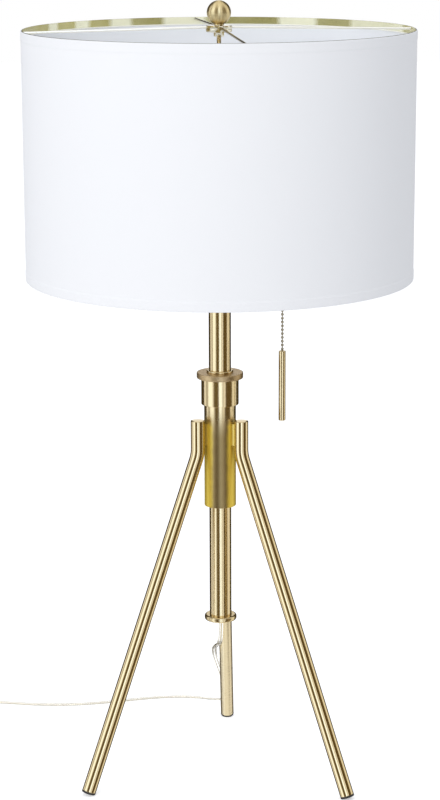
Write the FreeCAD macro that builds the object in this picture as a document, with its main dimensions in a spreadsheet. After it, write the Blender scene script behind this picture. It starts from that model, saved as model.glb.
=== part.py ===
import FreeCAD, Part
import math
import os
import Sketcher
from FreeCAD import Placement, Rotation, Vector

# Tripod table lamp: three bent brass tubes carry a sleeve, a column tube slides up and down in the
# sleeve and is held by a collet under a knurled lock nut, and the column carries a pull-chain socket,
# a harp and a straight drum shade under a ball finial.
# Frame: millimetres, +Z up, the column's axis on x = y = 0, the floor at z = 0. The viewer is at -Y.
# Every piece is drawn in place, in the lamp's lowest position.

SIZES = [
    # clearances
    ("running_gap", 0.3, "gap between pieces that move on each other"),
    ("seat_gap", 0.05, "gap between curved faces of pieces that are fixed together"),
    # column tube and its sleeve
    ("tube_od", 22.2, "column tube, outside"),
    ("tube_wall", 1.0, "column tube, wall"),
    ("tube_foot", 164.3, "height of the column tube's lower end"),
    ("tube_head", 530.0, "height of the column tube's upper end"),
    ("sleeve_od", 31.75, "sleeve, outside"),
    ("sleeve_wall", 1.2, "sleeve, wall"),
    ("sleeve_foot", 284.0, "height of the sleeve's lower end"),
    ("sleeve_show", 27.1, "sleeve, part above the legs' tops"),
    ("guide_length", 10.0, "lower guide bush, length"),
    ("stop_length", 8.0, "stop collar on the column tube, length"),
    ("stop_wall", 2.9, "stop collar, wall"),
    # collet and lock nut
    ("neck_wall", 1.2, "threaded neck outside the sleeve, wall"),
    ("neck_length", 12.0, "threaded neck, length"),
    ("collet_skirt", 3.1, "collet, part inside the sleeve"),
    ("collet_flange", 3.0, "collet, part that seats on the sleeve"),
    ("collet_taper", 8.0, "collet, tapered part"),
    ("collet_tip_wall", 1.9, "collet, wall at the tip of the taper"),
    ("collet_slot", 1.6, "collet, width of a slot"),
    ("collet_slot_count", 6, "number of the collet's slots"),
    ("nut_od", 46.4, "lock nut, flange outside"),
    ("nut_flange", 5.7, "lock nut, flange thickness"),
    ("nut_crown", 8.6, "lock nut, metal above the taper"),
    ("nut_edge", 0.9, "lock nut, rounding of the flange"),
    ("collar_od", 37.4, "lock nut, skirt outside"),
    ("collar_lap", 12.5, "lock nut, part of its skirt below the sleeve's upper end"),
    ("collar_chamfer", 0.9, "lock nut, chamfer at the skirt's lower end"),
    ("wiper_od", 26.6, "ring round the tube on the lock nut, outside"),
    ("wiper_height", 2.2, "ring round the tube on the lock nut, height"),
    # end ring and cord bushing
    ("ring_od", 32.5, "end ring at the column's foot, outside"),
    ("ring_height", 5.4, "end ring, height"),
    ("ring_round", 2.4, "end ring, rounding of its rim"),
    ("ring_lip", 1.5, "end ring, thickness of the lip that carries the bushing"),
    ("ring_bore", 12.4, "end ring, bore of the lip"),
    ("bushing_od", 15.0, "cord bushing, head"),
    ("bushing_head", 1.2, "cord bushing, head thickness"),
    ("bushing_rise", 17.0, "cord bushing, tapered part inside the tube"),
    ("bushing_tip", 8.2, "cord bushing, outside at its tip"),
    ("bushing_barb", 14.0, "cord bushing, outside of the barb above the lip"),
    # legs
    ("leg_od", 14.0, "leg tube, outside"),
    ("leg_wall", 1.2, "leg tube, wall"),
    ("leg_offset", 25.1, "column axis to the leg tube's upright part"),
    ("leg_head", 374.0, "height of the legs' closed tops"),
    ("leg_cap", 1.5, "leg, thickness of the closed top"),
    ("leg_bend_drop", 34.7, "leg's top down to where its two straight parts would meet"),
    ("leg_bend_radius", 34.0, "leg, radius of the bend"),
    ("leg_splay_angle", 20.4, "leg, degrees from upright"),
    ("leg_turn_angle", -2.66, "degrees by which the tripod is turned from its symmetric place"),
    ("saddle_width", 6.0, "saddle between leg and sleeve, width"),
    ("saddle_height", 22.0, "saddle, height"),
    ("saddle_drop", 4.0, "saddle, distance below the leg's top"),
    ("pad_thickness", 2.0, "foot pad, part that shows"),
    ("pad_stem", 7.0, "foot pad, part inside the leg"),
    ("pad_flat", 0.5, "foot pad, height worn flat where it stands"),
    # head of the column
    ("plug_flange_od", 26.0, "turned plug on the tube's head, flange"),
    ("plug_flange", 4.0, "turned plug, flange thickness"),
    ("plug_spigot", 10.0, "turned plug, part inside the tube"),
    ("nipple_od", 10.2, "threaded nipple, outside"),
    ("nipple_bore", 7.0, "threaded nipple, bore"),
    ("nipple_reach", 12.0, "threaded nipple, length above the plug"),
    ("hexnut_width", 14.0, "nut on the nipple, across flats"),
    ("hexnut_height", 3.0, "nut on the nipple, height"),
    # harp
    ("harp_base_width", 14.0, "harp base strip, width"),
    ("harp_strip", 1.6, "harp base strip, thickness"),
    ("harp_foot", 27.0, "column axis to the harp's feet"),
    ("harp_wire", 4.2, "harp wire, diameter"),
    ("harp_post", 11.0, "harp base, height of its posts"),
    ("harp_top", 753.6, "height of the harp's top"),
    ("harp_half", 56.0, "harp, widest half width at the wire's middle"),
    ("harp_upright", 43.5, "harp, length of its upright feet up to the first bend"),
    ("clip_od", 7.8, "harp sleeve, outside"),
    ("clip_length", 15.0, "harp sleeve, length"),
    ("clip_lift", 2.4, "harp sleeve, gap above the base strip"),
    ("clip_round", 0.65, "harp sleeve, rounding of its ends"),
    ("stud_od", 6.2, "finial stud, diameter"),
    ("stud_seat_od", 10.0, "finial stud, seat for the shade"),
    ("stud_seat", 2.0, "finial stud, seat's height above the wire"),
    ("stud_length", 17.0, "finial stud, length above its seat"),
    # socket
    ("cap_od", 34.2, "socket cap, outside"),
    ("cap_height", 22.0, "socket cap, height"),
    ("cap_foot_od", 20.0, "socket cap, foot"),
    ("cap_dome", 9.0, "socket cap, height of its dome"),
    ("cap_wall", 0.7, "socket cap and shell, wall"),
    ("shell_height", 50.0, "socket shell, height"),
    ("shell_lap", 10.0, "socket shell, part inside the cap"),
    ("liner_wall", 0.9, "insulating liner, wall"),
    ("core_height", 22.0, "switch block, height"),
    ("core_lift", 1.2, "switch block, distance above the foot of the shell"),
    ("screw_shell_od", 27.8, "screw shell, outside"),
    ("screw_shell_wall", 0.5, "screw shell, wall"),
    ("screw_shell_height", 25.0, "screw shell, height"),
    ("contact_od", 9.0, "centre contact, diameter"),
    ("contact_height", 1.4, "centre contact, height"),
    # switch arm and pull chain
    ("arm_od", 6.4, "chain arm, outside"),
    ("arm_wall", 0.8, "chain arm, wall"),
    ("arm_lift", 15.2, "height of the chain arm above the switch block's foot"),
    ("arm_reach", 62.0, "column axis to the pull chain"),
    ("arm_bend", 9.0, "chain arm, radius of its bend"),
    ("arm_drop", 15.0, "chain arm, height of its mouth below the arm"),
    ("mouth_od", 10.0, "chain arm, flared mouth"),
    ("mouth_height", 4.0, "chain arm, height of the flare"),
    ("bead_od", 2.9, "chain bead, diameter"),
    ("bead_pitch", 3.88, "chain bead, pitch"),
    ("bead_wire", 1.0, "chain, wire between beads"),
    ("lead_bead_count", 3, "beads at the arm's mouth that only move up and down"),
    ("lead_show", 1.6, "length of those beads that shows below the mouth"),
    ("swing_gap", 0.25, "gap between those beads and the hanging chain, which swings"),
    ("chain_bead_count", 27, "beads of the hanging chain"),
    ("rod_od", 7.0, "pull rod, diameter"),
    ("rod_length", 71.0, "pull rod, length"),
    ("rod_round", 1.1, "pull rod, rounding of its ends"),
    ("rod_bore", 3.9, "pull rod, bore for the last bead"),
    ("rod_bore_depth", 4.4, "pull rod, depth of the bore"),
    # shade
    ("shade_od", 381.0, "shade, outside"),
    ("shade_foot", 517.7, "height of the shade's lower edge"),
    ("shade_height", 240.7, "shade, height"),
    ("shade_wall", 1.2, "shade, linen on its backing"),
    ("band_height", 8.0, "brass band inside the upper rim, height"),
    ("band_thickness", 0.9, "brass band, thickness"),
    ("hoop_wire", 3.0, "wire hoop inside the lower rim, diameter"),
    ("hub_od", 25.0, "spider hub, across its corners"),
    ("hub_height", 6.2, "spider hub, height"),
    ("hub_bore", 6.9, "spider hub, bore"),
    ("hub_edge", 0.9, "spider hub, rounding"),
    ("spoke_od", 2.4, "spider spoke, diameter"),
    ("spoke_count", 4, "number of spokes"),
    ("spoke_turn_angle", 7.6, "degrees from +X to the first spoke"),
    ("spoke_sink", 0.15, "distance by which a spoke's inner end is let into the hub's widest circle"),
    ("spoke_rise", 4.5, "height of a spoke's inner end above the hub's underside"),
    ("spoke_drop", 1.35, "height of a spoke's outer end below the shade's rim"),
    # finial
    ("ball_od", 23.4, "finial ball, diameter"),
    ("ball_neck_od", 9.5, "finial neck, diameter"),
    ("ball_neck", 1.1, "finial neck, height below the ball"),
    ("ball_bore_depth", 15.0, "finial, depth of its threaded hole"),
    # bulb
    ("bulb_od", 60.0, "bulb, diameter"),
    ("bulb_length", 108.0, "bulb, whole length"),
    ("bulb_neck_od", 27.0, "bulb, neck where the base starts"),
    ("bulb_slope_angle", 35.0, "bulb, degrees of the flank from upright"),
    ("bulb_wall", 0.8, "bulb, glass"),
    ("bulb_base_length", 24.0, "bulb, metal base"),
    ("bulb_lift", 0.5, "bulb, gap above the centre contact"),
    # cord, its coil and its plug
    ("cord_od", 5.0, "cord, width"),
    ("coil_x", -301.0, "coil, middle along X"),
    ("coil_y", 154.0, "coil, middle along Y"),
    ("coil_radius", 36.0, "coil, radius of its outer turn"),
    ("coil_pitch", 5.6, "coil, step from turn to turn"),
    ("coil_low_turns", 3, "coil, turns of the lower layer"),
    ("coil_high_turns", 3.5, "coil, turns of the upper layer"),
    ("tail_reach", 24.0, "cord's end past the coil, length"),
    ("tail_offset", 5.0, "cord's end past the coil, distance that it leads outwards"),
    ("tail_turn_angle", 15.0, "cord's end past the coil, degrees that it turns outwards"),
    ("tie_thickness", 0.8, "coil tie, thickness"),
    ("tie_width", 8.0, "coil tie, width along the cord"),
    ("plug_length", 27.0, "mains plug, length"),
    ("plug_front", 9.0, "mains plug, length of its straight front"),
    ("plug_width", 25.0, "mains plug, width"),
    ("plug_rear_width", 12.0, "mains plug, width where the cord enters"),
    ("plug_rear_height", 8.0, "mains plug, height where the cord enters"),
    ("blade_length", 17.0, "plug blade, length"),
    ("blade_width", 6.3, "plug blade, width"),
    ("blade_thickness", 1.5, "plug blade, thickness"),
    ("blade_pitch", 12.7, "plug blades, distance apart"),
]

# The cord's free route, from the bushing back past the rear leg, down behind it and over the floor.
CORD_ROUTE = [
    (0.0, 0.0, 150.0),
    (-0.6, 4.9, 139.0),
    (-1.3, 14.4, 131.0),
    (-2.4, 34.0, 123.5),
    (-5.0, 71.0, 108.5),
    (-7.2, 105.0, 94.0),
    (-6.5, 133.0, 74.5),
    (0.0, 150.0, 49.5),
    (6.5, 162.0, 24.5),
    (5.0, 176.0, 9.0),
    (-7.0, 192.0, 2.9),
    (-31.0, 203.5, 2.6),
    (-69.0, 203.0, 2.6),
    (-114.0, 190.0, 2.6),
    (-160.0, 179.0, 2.6),
    (-206.0, 179.5, 2.6),
    (-246.0, 187.5, 2.6),
]
ROUTE_SHARE = 0.45      # part of the shorter run that the bend at a point of the route takes
# The harp's bow above its upright feet, as shares of its widest half width and of its rise.
HARP_BOW = [(0.855, 0.34), (1.0, 0.52), (0.9, 0.74), (0.62, 0.92), (0.3, 1.0)]
SAME = 1e-4             # two lengths are equal if they differ by less
VOLUME_SHARE = 0.01     # share by which the cord's volume may differ from section times length
QUARTER = math.pi / 2
LEGS = {"left": 210.0, "right": 330.0, "rear": 90.0}
PLUMB = Vector(0, 0, 1)


class Size:
    """A length that knows both its number and the formula that binds it to the sheet."""

    def __init__(self, number, formula):
        self.number = number
        self.formula = formula

    def joined(self, other, sign, number):
        return Size(number, f"({self.formula} {sign} {formula_of(other)})")

    def __add__(self, other):
        return self.joined(other, "+", self.number + number_of(other))

    def __sub__(self, other):
        return self.joined(other, "-", self.number - number_of(other))

    def __mul__(self, other):
        return self.joined(other, "*", self.number * number_of(other))

    def __truediv__(self, other):
        return self.joined(other, "/", self.number / number_of(other))

    def __neg__(self):
        return Size(-self.number, f"(0 - {self.formula})")


def number_of(value):
    """The plain number of a size or of a number."""
    return value.number if isinstance(value, Size) else value


def formula_of(value):
    """The sheet formula of a size or of a number."""
    return value.formula if isinstance(value, Size) else repr(value)


def function_of(name, value, number):
    """A size worked out by one of the sheet's own functions."""
    return Size(number, f"{name}({value.formula})")


def sine(degrees):
    return function_of("sin", degrees, math.sin(math.radians(degrees.number)))


def cosine(degrees):
    return function_of("cos", degrees, math.cos(math.radians(degrees.number)))


def tangent(degrees):
    return function_of("tan", degrees, math.tan(math.radians(degrees.number)))


def root(value):
    return function_of("sqrt", value, math.sqrt(value.number))


doc = FreeCAD.newDocument("TripodTableLamp")
sheet = doc.addObject("Spreadsheet::Sheet", "Sizes")
for row, (alias, amount, note) in enumerate(SIZES, start=1):
    sheet.set(f"A{row}", note)
    sheet.set(f"B{row}", str(amount))
    sheet.setAlias(f"B{row}", alias)
doc.recompute()
S = {alias: Size(float(sheet.get(alias)), f"Sizes.{alias}") for alias, amount, note in SIZES}
nodes = {}


def keep(name, item):
    """Name a finished sub-part, so that it is checked and written."""
    item.Label = name
    nodes[name] = item
    return item


# ---- sketches and features -------------------------------------------------------------------

def new_body(name):
    return doc.addObject("PartDesign::Body", name)


def new_sketch(body, name, plane, height=None, across=None):
    """A sketch on one of the body's own origin planes, lifted along its normal or moved along X."""
    sketch = body.newObject("Sketcher::SketchObject", name)
    support = [item for item in body.Origin.OriginFeatures if item.Role == plane][0]
    sketch.AttachmentSupport = [(support, "")]
    sketch.MapMode = "FlatFace"
    if height is not None:
        sketch.setExpression("AttachmentOffset.Base.z", formula_of(height))
    if across is not None:
        sketch.setExpression("AttachmentOffset.Base.x", formula_of(across))
    return sketch


def tie(sketch, kind, edge, corner, value):
    """Hold one point at a distance from the sketch's origin, bound to the sheet."""
    axis = -2 if kind == "DistanceX" else -1
    if number_of(value) == 0 and not isinstance(value, Size):
        sketch.addConstraint(Sketcher.Constraint("PointOnObject", edge, corner, axis))
        return
    rule = Sketcher.Constraint(kind, -1, 1, edge, corner, number_of(value))
    index = sketch.addConstraint(rule)
    if isinstance(value, Size):
        sketch.setExpression(f"Constraints[{index}]", value.formula)


def bind_rule(sketch, rule, value):
    """Add a dimension and bind it to the sheet."""
    index = sketch.addConstraint(rule)
    sketch.setExpression(f"Constraints[{index}]", formula_of(value))


def polygon(sketch, corners):
    """Closed outline of straight lines, each corner held by two dimensions."""
    points = [Vector(number_of(across), number_of(up), 0) for across, up in corners]
    count = len(points)
    for i in range(count):
        sketch.addGeometry(Part.LineSegment(points[i], points[(i + 1) % count]), False)
    for i in range(count):
        sketch.addConstraint(Sketcher.Constraint("Coincident", i, 2, (i + 1) % count, 1))
    for i, (across, up) in enumerate(corners):
        tie(sketch, "DistanceX", i, 1, across)
        tie(sketch, "DistanceY", i, 1, up)


def circle(sketch, radius, across=0):
    """A circle on the sketch's horizontal axis."""
    centre = Vector(number_of(across), 0, 0)
    edge = sketch.addGeometry(Part.Circle(centre, PLUMB, number_of(radius)), False)
    tie(sketch, "DistanceX", edge, 3, across)
    tie(sketch, "DistanceY", edge, 3, 0)
    bind_rule(sketch, Sketcher.Constraint("Radius", edge, number_of(radius)), radius)


def turned(name, corners):
    """A turned piece: an outline of (radius, height) corners revolved about the body's Z axis."""
    body = new_body(name)
    sketch = new_sketch(body, name + "_outline", "XZ_Plane")
    polygon(sketch, corners)
    revolve(body, sketch)
    return body


def revolve(body, sketch):
    feature = body.newObject("PartDesign::Revolution", body.Name + "_turning")
    feature.Profile = sketch
    feature.ReferenceAxis = (sketch, ["V_Axis"])
    feature.Angle = 360
    doc.recompute()
    return feature


def pad(body, sketch, length):
    feature = body.newObject("PartDesign::Pad", sketch.Name + "_pad")
    feature.Profile = sketch
    feature.setExpression("Length", formula_of(length))
    doc.recompute()
    return feature


def rims(body, places):
    """Names of the circular edges of the body's last feature at the given (radius, height)."""
    found = []
    for index, edge in enumerate(body.Tip.Shape.Edges, start=1):
        curve = edge.Curve
        if not isinstance(curve, Part.Circle):
            continue
        for radius, height in places:
            near = abs(curve.Radius - number_of(radius)) < SAME
            level = abs(curve.Center.z - number_of(height)) < SAME
            if near and level:
                found.append(f"Edge{index}")
    if len(found) < len(places):
        raise RuntimeError(f"{body.Name}: a rim was not found")
    return found


def dress_rims(body, kind, places):
    """A rounding or chamfer on circular edges of the body as it stands."""
    base = body.Tip
    names = rims(body, places)
    feature = body.newObject("PartDesign::" + kind, f"{body.Name}_{kind.lower()}")
    feature.Base = (base, names)
    return feature


def round_rims(body, radius, places):
    feature = dress_rims(body, "Fillet", places)
    feature.setExpression("Radius", formula_of(radius))
    doc.recompute()


def primitive(kind, name, sizes, base=(0, 0, 0), turn=None):
    """A plain solid whose sizes and place are bound to the sheet."""
    item = doc.addObject("Part::" + kind, name)
    for key, value in sizes.items():
        item.setExpression(key, formula_of(value))
    if turn is not None:
        item.Placement = Placement(Vector(), turn)
    for axis, value in zip("xyz", base):
        if isinstance(value, Size):
            item.setExpression("Placement.Base." + axis, value.formula)
    return item


def cut(name, base, tool):
    item = doc.addObject("Part::Cut", name)
    item.Base = base
    item.Tool = tool
    return item


def fuse(name, pieces):
    item = doc.addObject("Part::MultiFuse", name)
    item.Shapes = pieces
    return item


def group(name, pieces):
    """Like pieces that share one node, as separate solids."""
    item = doc.addObject("Part::Compound", name)
    item.Links = pieces
    return item


def tube(name, outer, inner, foot, head):
    """A straight turned tube."""
    return turned(name, [(inner, foot), (outer, foot), (outer, head), (inner, head)])


# ---- paths of straight runs and tangent arcs --------------------------------------------------

def arc_through_corner(start, corner, end):
    """Arc that leaves start towards corner and comes to end from it, both the same way off."""
    chord = end - start
    middle = (start + end) / 2
    cos_half = chord.Length / (2 * (corner - start).Length)
    top = corner + (middle - corner) / (1 + cos_half)
    return Part.Arc(start, top, end)


def rounded_path(points, share):
    """Lines joined by tangent arcs; each arc takes a share of the shorter run at its point."""
    curves = []
    here = points[0]
    for before, corner, after in zip(points, points[1:], points[2:]):
        back = before - corner
        ahead = after - corner
        reach = share * min(back.Length, ahead.Length)
        start = corner + back.normalize() * reach
        end = corner + ahead.normalize() * reach
        curves.append(Part.LineSegment(here, start))
        curves.append(arc_through_corner(start, corner, end))
        here = end
    curves.append(Part.LineSegment(here, points[-1]))
    return curves


def biarc(start, heading, end, end_heading):
    """Two arcs that leave start along heading, meet smoothly and come to end along end_heading."""
    span = end - start
    both = heading + end_heading
    spread = 2 * (1 - heading.dot(end_heading))
    along = span.dot(both)
    reach = (math.sqrt(along * along + spread * span.dot(span)) - along) / spread
    first_corner = start + heading * reach
    last_corner = end - end_heading * reach
    joint = (first_corner + last_corner) / 2
    return [arc_through_corner(start, first_corner, joint),
            arc_through_corner(joint, last_corner, end)]


def swept_cord(curves, diameter):
    """A round cord along a path of curves, its section square to the start."""
    spine = Part.Wire([curve.toShape() for curve in curves])
    start = curves[0].value(curves[0].FirstParameter)
    heading = Vector(*curves[0].tangent(curves[0].FirstParameter)[0])
    section = Part.Wire([Part.Circle(start, heading, diameter / 2).toShape()])
    solid = spine.makePipeShell([section], True, False)
    return solid, spine.Length


# ---- tripod --------------------------------------------------------------------------------------

tube_radius = S["tube_od"] / 2
tube_bore = tube_radius - S["tube_wall"]
sleeve_radius = S["sleeve_od"] / 2
sleeve_bore = sleeve_radius - S["sleeve_wall"]
guide_bore = tube_radius + S["running_gap"]
leg_radius = S["leg_od"] / 2
leg_bore = leg_radius - S["leg_wall"]
pad_centre = leg_radius * sine(S["leg_splay_angle"]) - S["pad_flat"]
leg_end_height = pad_centre + S["pad_thickness"] * cosine(S["leg_splay_angle"])
leg_bend = S["leg_head"] - S["leg_bend_drop"]
leg_end_offset = S["leg_offset"] + (leg_bend - leg_end_height) * tangent(S["leg_splay_angle"])
sleeve_head = S["leg_head"] + S["sleeve_show"]


def sleeve():
    return tube("sleeve", sleeve_radius, sleeve_bore, S["sleeve_foot"], sleeve_head)


def threaded_neck():
    """Ring on the outside of the sleeve's head that the lock nut screws on."""
    inner = sleeve_radius + S["seat_gap"]
    foot = sleeve_head - S["neck_length"]
    return tube("threaded_neck", inner + S["neck_wall"], inner, foot, sleeve_head)


def lower_guide():
    outer = sleeve_bore - S["seat_gap"]
    head = S["sleeve_foot"] + S["guide_length"]
    return tube("lower_guide", outer, guide_bore, S["sleeve_foot"], head)


collet_seat = sleeve_head + S["collet_flange"]
collet_tip = collet_seat + S["collet_taper"]
neck_radius = sleeve_radius + S["seat_gap"] + S["neck_wall"]


def collet():
    """Slit clamping ring: skirt in the sleeve, flange on its end, tapered tip under the nut."""
    skirt = sleeve_bore - S["seat_gap"]
    tip = guide_bore + S["collet_tip_wall"]
    foot = sleeve_head - S["collet_skirt"]
    body = turned("collet", [
        (guide_bore, foot), (skirt, foot), (skirt, sleeve_head), (sleeve_radius, sleeve_head),
        (sleeve_radius, collet_seat), (tip, collet_tip), (guide_bore, collet_tip)])
    sketch = new_sketch(body, "collet_slot_outline", "XY_Plane", collet_tip)
    half = S["collet_slot"] / 2
    inner = tube_radius / 2
    outer = sleeve_radius * 2
    polygon(sketch, [(inner, -half), (outer, -half), (outer, half), (inner, half)])
    slot = body.newObject("PartDesign::Pocket", "collet_slot")
    slot.Profile = sketch
    slot.setExpression("Length", formula_of(S["collet_taper"]))
    doc.recompute()
    slots = body.newObject("PartDesign::PolarPattern", "collet_slots")
    slots.Originals = [slot]
    slots.Axis = (sketch, ["N_Axis"])
    slots.Angle = 360
    slots.setExpression("Occurrences", S["collet_slot_count"].formula)
    body.Tip = slots
    doc.recompute()
    return body


def leg_tube(side, azimuth):
    """One bent tube, upright beside the sleeve and splayed below the bend, closed at its top."""
    body = new_body("leg_" + side)
    spine = new_sketch(body, f"leg_{side}_path", "XZ_Plane")
    offset = S["leg_offset"]
    radius = S["leg_bend_radius"]
    splay = math.radians(number_of(S["leg_splay_angle"]))
    centre_height = number_of(leg_bend) + number_of(radius) * math.tan(splay / 2)
    centre = Vector(number_of(offset) + number_of(radius), centre_height, 0)
    head = Vector(number_of(offset), number_of(S["leg_head"]), 0)
    upper = Vector(number_of(offset), centre_height, 0)
    lower = centre + Vector(-math.cos(splay), -math.sin(splay), 0) * number_of(radius)
    foot = Vector(number_of(leg_end_offset), number_of(leg_end_height), 0)
    spine.addGeometry(Part.LineSegment(head, upper), False)
    bend = Part.ArcOfCircle(Part.Circle(centre, PLUMB, number_of(radius)), math.pi, math.pi + splay)
    spine.addGeometry(bend, False)
    spine.addGeometry(Part.LineSegment(lower, foot), False)
    tie(spine, "DistanceX", 0, 1, offset)
    tie(spine, "DistanceY", 0, 1, S["leg_head"])
    spine.addConstraint(Sketcher.Constraint("Vertical", 0))
    spine.addConstraint(Sketcher.Constraint("Tangent", 0, 2, 1, 1))
    spine.addConstraint(Sketcher.Constraint("Tangent", 1, 2, 2, 1))
    bind_rule(spine, Sketcher.Constraint("Radius", 1, number_of(radius)), radius)
    tie(spine, "DistanceX", 2, 2, leg_end_offset)
    tie(spine, "DistanceY", 2, 2, leg_end_height)
    ring = new_sketch(body, f"leg_{side}_section", "XY_Plane", S["leg_head"], offset)
    circle(ring, leg_radius)
    circle(ring, leg_bore)
    doc.recompute()
    pipe = body.newObject("PartDesign::AdditivePipe", f"leg_{side}_tube")
    pipe.Profile = ring
    pipe.Spine = spine
    doc.recompute()
    cap = new_sketch(body, f"leg_{side}_cap", "XY_Plane", S["leg_head"] - S["leg_cap"], offset)
    circle(cap, leg_radius)
    pad(body, cap, S["leg_cap"])
    body.Placement = Placement(Vector(), Rotation(PLUMB, azimuth))
    return body


def leg_saddle(side, azimuth):
    """Brazed web with a hollow face towards the sleeve and one towards the leg."""
    body = new_body("saddle_" + side)
    foot = S["leg_head"] - S["saddle_drop"] - S["saddle_height"]
    sketch = new_sketch(body, f"saddle_{side}_outline", "XY_Plane", foot)
    near = sleeve_radius + S["seat_gap"]
    far = leg_radius + S["seat_gap"]
    half = S["saddle_width"] / 2
    near_angle = math.asin(number_of(half) / number_of(near))
    far_angle = math.asin(number_of(half) / number_of(far))
    near_edge = number_of(near) * math.cos(near_angle)
    leg_middle = Vector(number_of(S["leg_offset"]), 0, 0)
    far_edge = leg_middle.x - number_of(far) * math.cos(far_angle)
    top = number_of(half)
    near_circle = Part.Circle(Vector(), PLUMB, number_of(near))
    far_circle = Part.Circle(leg_middle, PLUMB, number_of(far))
    sketch.addGeometry(Part.ArcOfCircle(near_circle, -near_angle, near_angle), False)
    sketch.addGeometry(Part.LineSegment(Vector(near_edge, top, 0), Vector(far_edge, top, 0)), False)
    sketch.addGeometry(Part.ArcOfCircle(far_circle, math.pi - far_angle, math.pi + far_angle), False)
    sketch.addGeometry(Part.LineSegment(Vector(far_edge, -top, 0), Vector(near_edge, -top, 0)), False)
    for first, last in ((0, 1), (1, 2), (2, 3), (3, 0)):
        sketch.addConstraint(Sketcher.Constraint("Coincident", first, 2, last, 1))
    sketch.addConstraint(Sketcher.Constraint("Coincident", 0, 3, -1, 1))
    sketch.addConstraint(Sketcher.Constraint("Horizontal", 1))
    sketch.addConstraint(Sketcher.Constraint("Horizontal", 3))
    bind_rule(sketch, Sketcher.Constraint("Radius", 0, number_of(near)), near)
    bind_rule(sketch, Sketcher.Constraint("Radius", 2, number_of(far)), far)
    tie(sketch, "DistanceX", 2, 3, S["leg_offset"])
    tie(sketch, "DistanceY", 2, 3, 0)
    tie(sketch, "DistanceY", 1, 1, half)
    tie(sketch, "DistanceY", 3, 1, -half)
    pad(body, sketch, S["saddle_height"])
    body.Placement = Placement(Vector(), Rotation(PLUMB, azimuth))
    return body


def foot_pad(side, azimuth):
    """Rubber end plug square to the leg, worn flat where it stands on the floor."""
    stem = leg_bore - S["seat_gap"]
    form = turned(f"foot_form_{side}", [
        (0, -S["pad_thickness"]), (leg_radius, -S["pad_thickness"]), (leg_radius, 0), (stem, 0),
        (stem, S["pad_stem"]), (0, S["pad_stem"])])
    around = Rotation(PLUMB, azimuth)
    lean = Rotation(Vector(0, 1, 0), -number_of(S["leg_splay_angle"]))
    place = around.multVec(Vector(number_of(leg_end_offset), 0, number_of(leg_end_height)))
    form.Placement = Placement(place, around.multiply(lean))
    side_length = S["leg_od"] * 4
    floor = primitive("Box", f"foot_floor_{side}",
                      {"Length": side_length, "Width": side_length, "Height": S["leg_od"]})
    reach = number_of(side_length) / 2
    floor.Placement = Placement(place - Vector(reach, reach, place.z + number_of(S["leg_od"])), Rotation())
    return cut("foot_pad_" + side, form, floor)


keep("sleeve", sleeve())
keep("threaded_neck", threaded_neck())
keep("lower_guide", lower_guide())
keep("collet", collet())
for side, symmetric_azimuth in LEGS.items():
    azimuth = symmetric_azimuth + number_of(S["leg_turn_angle"])
    keep("leg_" + side, leg_tube(side, azimuth))
    keep("saddle_" + side, leg_saddle(side, azimuth))
    keep("foot_pad_" + side, foot_pad(side, azimuth))


# ---- lock nut ------------------------------------------------------------------------------------

nut_taper_foot = collet_seat
nut_taper_head = collet_tip + S["running_gap"]
nut_head = nut_taper_head + S["nut_crown"]


def lock_nut():
    """Gland nut: wide flange, skirt over the threaded neck, hollow taper over the collet."""
    collar = S["collar_od"] / 2
    flange = S["nut_od"] / 2
    flange_foot = nut_head - S["nut_flange"]
    collar_foot = sleeve_head - S["collar_lap"]
    thread = neck_radius + S["running_gap"]
    taper_foot = sleeve_radius + S["running_gap"]
    taper_head = guide_bore + S["collet_tip_wall"] + S["running_gap"]
    body = turned("lock_nut", [
        (guide_bore, nut_head), (flange, nut_head), (flange, flange_foot), (collar, flange_foot),
        (collar, collar_foot), (thread, collar_foot), (thread, nut_taper_foot),
        (taper_foot, nut_taper_foot), (taper_head, nut_taper_head), (guide_bore, nut_taper_head)])
    chamfer = dress_rims(body, "Chamfer", [(collar, collar_foot)])
    chamfer.setExpression("Size", S["collar_chamfer"].formula)
    doc.recompute()
    round_rims(body, S["nut_edge"], [(flange, nut_head), (flange, flange_foot)])
    return body


def wiper_ring():
    """Small ring round the tube that lies on the lock nut."""
    outer = S["wiper_od"] / 2
    head = nut_head + S["wiper_height"]
    body = tube("wiper_ring", outer, guide_bore, nut_head, head)
    round_rims(body, S["wiper_height"] / 3, [(outer, head)])
    return body


keep("lock_nut", lock_nut())
keep("wiper_ring", wiper_ring())


# ---- column --------------------------------------------------------------------------------------

ring_foot = S["tube_foot"] - S["ring_lip"]


def column_tube():
    return tube("column_tube", tube_radius, tube_bore, S["tube_foot"], S["tube_head"])


def end_ring():
    """Rounded ring on the tube's foot, with a lip that closes round the cord bushing."""
    outer = S["ring_od"] / 2
    seat = tube_radius + S["seat_gap"]
    head = ring_foot + S["ring_height"]
    bore = S["ring_bore"] / 2
    body = turned("end_ring", [
        (bore, ring_foot), (outer, ring_foot), (outer, head), (seat, head), (seat, S["tube_foot"]),
        (bore, S["tube_foot"])])
    round_rims(body, S["ring_round"], [(outer, head), (outer, ring_foot)])
    return body


def stop_collar():
    """Ring on the tube inside the sleeve: on the lower guide at the bottom, at the collet at the top."""
    inner = tube_radius + S["seat_gap"]
    foot = S["sleeve_foot"] + S["guide_length"] + S["running_gap"]
    return tube("stop_collar", inner + S["stop_wall"], inner, foot, foot + S["stop_length"])


cord_bore = S["cord_od"] / 2 + S["running_gap"]
bushing_foot = ring_foot - S["running_gap"] - S["bushing_head"]


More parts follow.
